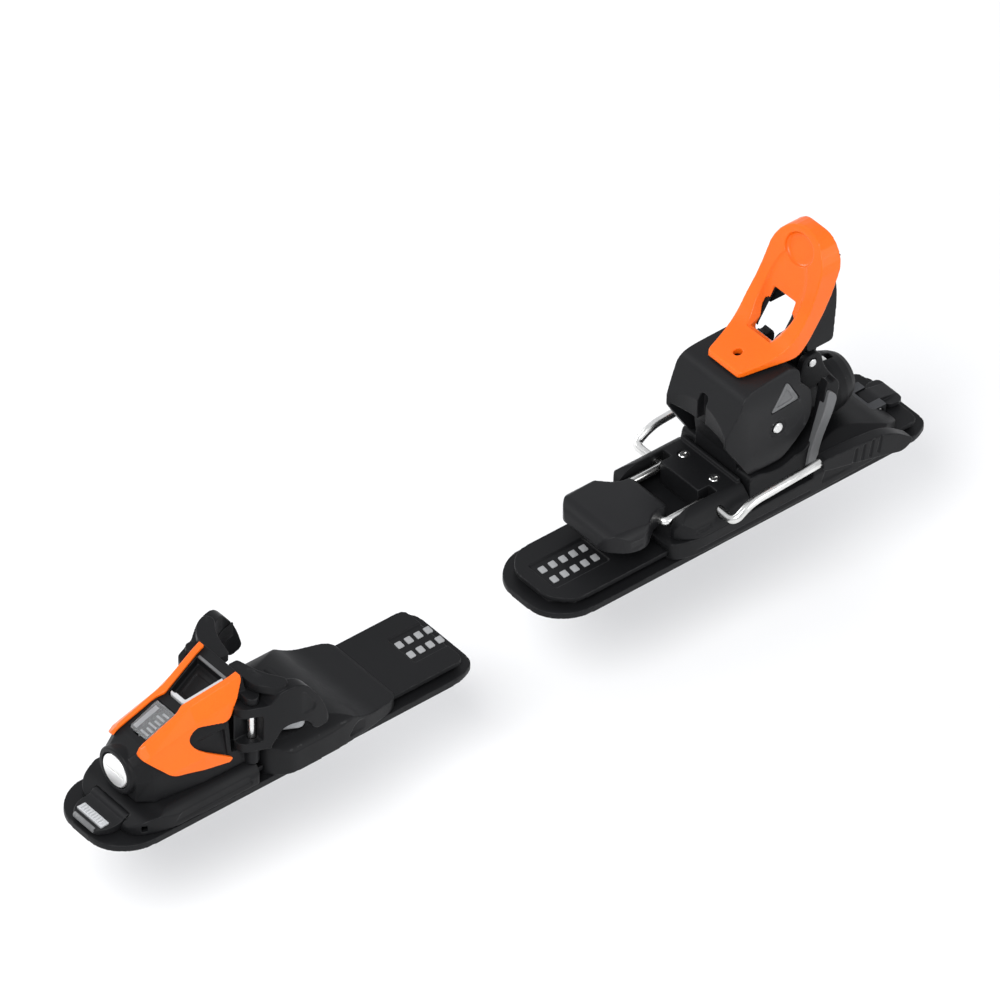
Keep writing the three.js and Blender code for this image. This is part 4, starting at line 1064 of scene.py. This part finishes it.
def add_toe():
    moulded("toe_body", toe_housing(), TOE, "toe_carriage", ["toe_housing"], BLACK, 0.35)
    moulded("toe_slide", toe_carriage(), TOE, "toe_carriage", ["toe_carriage"], BLACK, 0.4)
    moulded("toe_bed", sole_platform(), TOE, "toe_carriage", ["sole_platform"], BLACK, 0.4)
    moulded("toe_glide", glide_plate(), TOE, "glide_plate", ["glide_plate"], LIGHT, 0.3, 4)
    moulded("toe_trim", top_trim(), TOE, "toe_carriage", ["toe_top_trim"], LIGHT, 0.25, 3)
    moulded("toe_recess_floor", recess_floor(), TOE, "toe_carriage", [], SHADE_BLACK, 0.25, 3)
    hard("toe_scale_strip", scale_strip(), TOE, "toe_carriage", [], SHADE_BLACK, 0)
    hard("toe_scale_print", scale_print(), TOE, "toe_carriage", [], LIGHT, 0)
    hard("toe_recess_edge", rear_edge(), TOE, "toe_carriage", [], HIGHLIGHT_GREY, 0.1)
    moulded("toe_latch_plate", toe_latch(), TOE, "toe_latch", ["toe_latch"], GREY, 0.3, 5)
    hard("toe_latch_ribs", latch_grip(), TOE, "toe_latch", ["toe_latch_grip"], LIGHT, 0.15)
    hard("toe_latch_lip", latch_lip(), TOE, "toe_latch", [], HIGHLIGHT_GREY, 0.15)
    for side, sign in SIDES.items():
        panel_node = [f"toe_side_panel_{side}"]
        moulded(f"toe_panel_{side}", side_panel(sign), TOE, "toe_carriage", panel_node, ORANGE, 0.25, 5)
        moulded(f"wing_arm_{side}", toe_wing(sign), TOE, f"wing_{side}", [f"toe_wing_{side}"], BLACK, 0.35)
        # The wing pads take the painted-shade black: it paints the shading on the ear's inner face.
        hard(f"wing_insert_{side}", wing_pad(sign), TOE, f"wing_{side}", [f"wing_pad_{side}"], SHADE_BLACK, 0.2)
    toe_fittings()


def add_rails():
    toe_marks = (94, 119)
    heel_marks = (-113, -74)
    toe = rail(-124, 124, -98, RAIL_SCREWS["toe"], toe_marks, RACK_START["toe"])
    heel = rail(-128, 143, -121, RAIL_SCREWS["heel"], heel_marks, RACK_START["heel"])
    moulded("toe_rail_body", toe, TOE, "rails", ["toe_rail"], BLACK, 0.5, 5)
    moulded("heel_rail_body", heel, HEEL, "rails", ["heel_rail"], BLACK, 0.5, 5)
    hard("toe_scale_marks", scale_marks(97, 4, 6.6), TOE, "rails", [], MARK, 0.15)
    hard("heel_scale_marks", scale_marks(-108, 5, 7.2), HEEL, "rails", [], MARK, 0.15)


SMALL_NODES = [
    "toe_scale_window", "toe_piston", "toe_indicator", "heel_lock_block", "heel_latch_pin", "heel_latch", "heel_piston",
    "heel_indicator",
]


def add_small_pieces():
    """The remaining pieces keep their CAD form, with every edge rounded."""
    for node in SMALL_NODES:
        refined(node, 0.25, 3)
    for unit in ("toe", "heel"):
        for i in range(1, 5):
            refined(f"{unit}_rail_screw_{i}", 0.25, 3)


add_toe()
add_rails()
add_small_pieces()


# ---------------------------------------------------------------- floor, light and camera


FLOOR_DEPTH = 0.085


def place_floor():
    """A pale floor far enough below for the brake arms to swing down over it."""
    bm = bmesh.new()
    bmesh.ops.create_grid(bm, x_segments=1, y_segments=1, size=6)
    floor = object_from(bm, "floor")
    floor.name = "floor"
    floor.location.z = -FLOOR_DEPTH
    material, nodes, links = new_material("floor_paper")
    shader = nodes["Principled BSDF"]
    tone = ramp(nodes, links, noise(nodes, links, 9, 3), [(0.3, 0.80), (0.7, 0.82)])
    links.new(tone, shader.inputs["Base Color"])
    shader.inputs["Roughness"].default_value = 0.85
    floor.data.materials.append(material)


def place_lights():
    world = bpy.data.worlds.new("studio")
    world.use_nodes = True
    background = world.node_tree.nodes["Background"]
    background.inputs["Color"].default_value = (0.96, 0.97, 1.0, 1)
    background.inputs["Strength"].default_value = 0.8
    bpy.context.scene.world = world
    for name, place, size, power in LAMPS:
        light = bpy.data.lights.new(name, "AREA")
        light.shape = "DISK"
        light.size = size
        light.energy = power
        lamp = bpy.data.objects.new(name, light)
        bpy.context.scene.collection.objects.link(lamp)
        lamp.location = place
        lamp.rotation_euler = (Vector((0, 0, 0.05)) - Vector(place)).to_track_quat("-Z", "Y").to_euler()


LAMPS = [
    ("key", (0.9, -1.5, 2.0), 1.2, 44),
    ("fill", (2.0, 0.9, 1.0), 1.4, 16),
    ("rim", (-1.9, -0.6, 0.9), 0.9, 16),
]

AZIMUTH, ELEVATION, ROLL = 50.19, 40.31, -0.83
CAMERA_DISTANCE = 5.75
LENS = 385


def place_camera():
    """The main viewing angle, from far off, with a long lens."""
    a, e = math.radians(AZIMUTH), math.radians(ELEVATION)
    back = Vector((math.sin(a) * math.cos(e), -math.cos(a) * math.cos(e), math.sin(e)))
    low, high = cad_box
    target = (low + high) / 2
    data = bpy.data.cameras.new("camera")
    data.lens = LENS
    data.clip_end = 30
    camera = bpy.data.objects.new("camera", data)
    bpy.context.scene.collection.objects.link(camera)
    camera.location = target + back * CAMERA_DISTANCE
    turn = back.to_track_quat("Z", "Y").to_matrix().to_4x4()
    camera.matrix_world = Matrix.Translation(camera.location) @ turn @ Matrix.Rotation(math.radians(-ROLL), 4, "Z")
    bpy.context.scene.camera = camera


place_floor()
place_lights()
place_camera()
bpy.context.scene.view_settings.view_transform = "Standard"
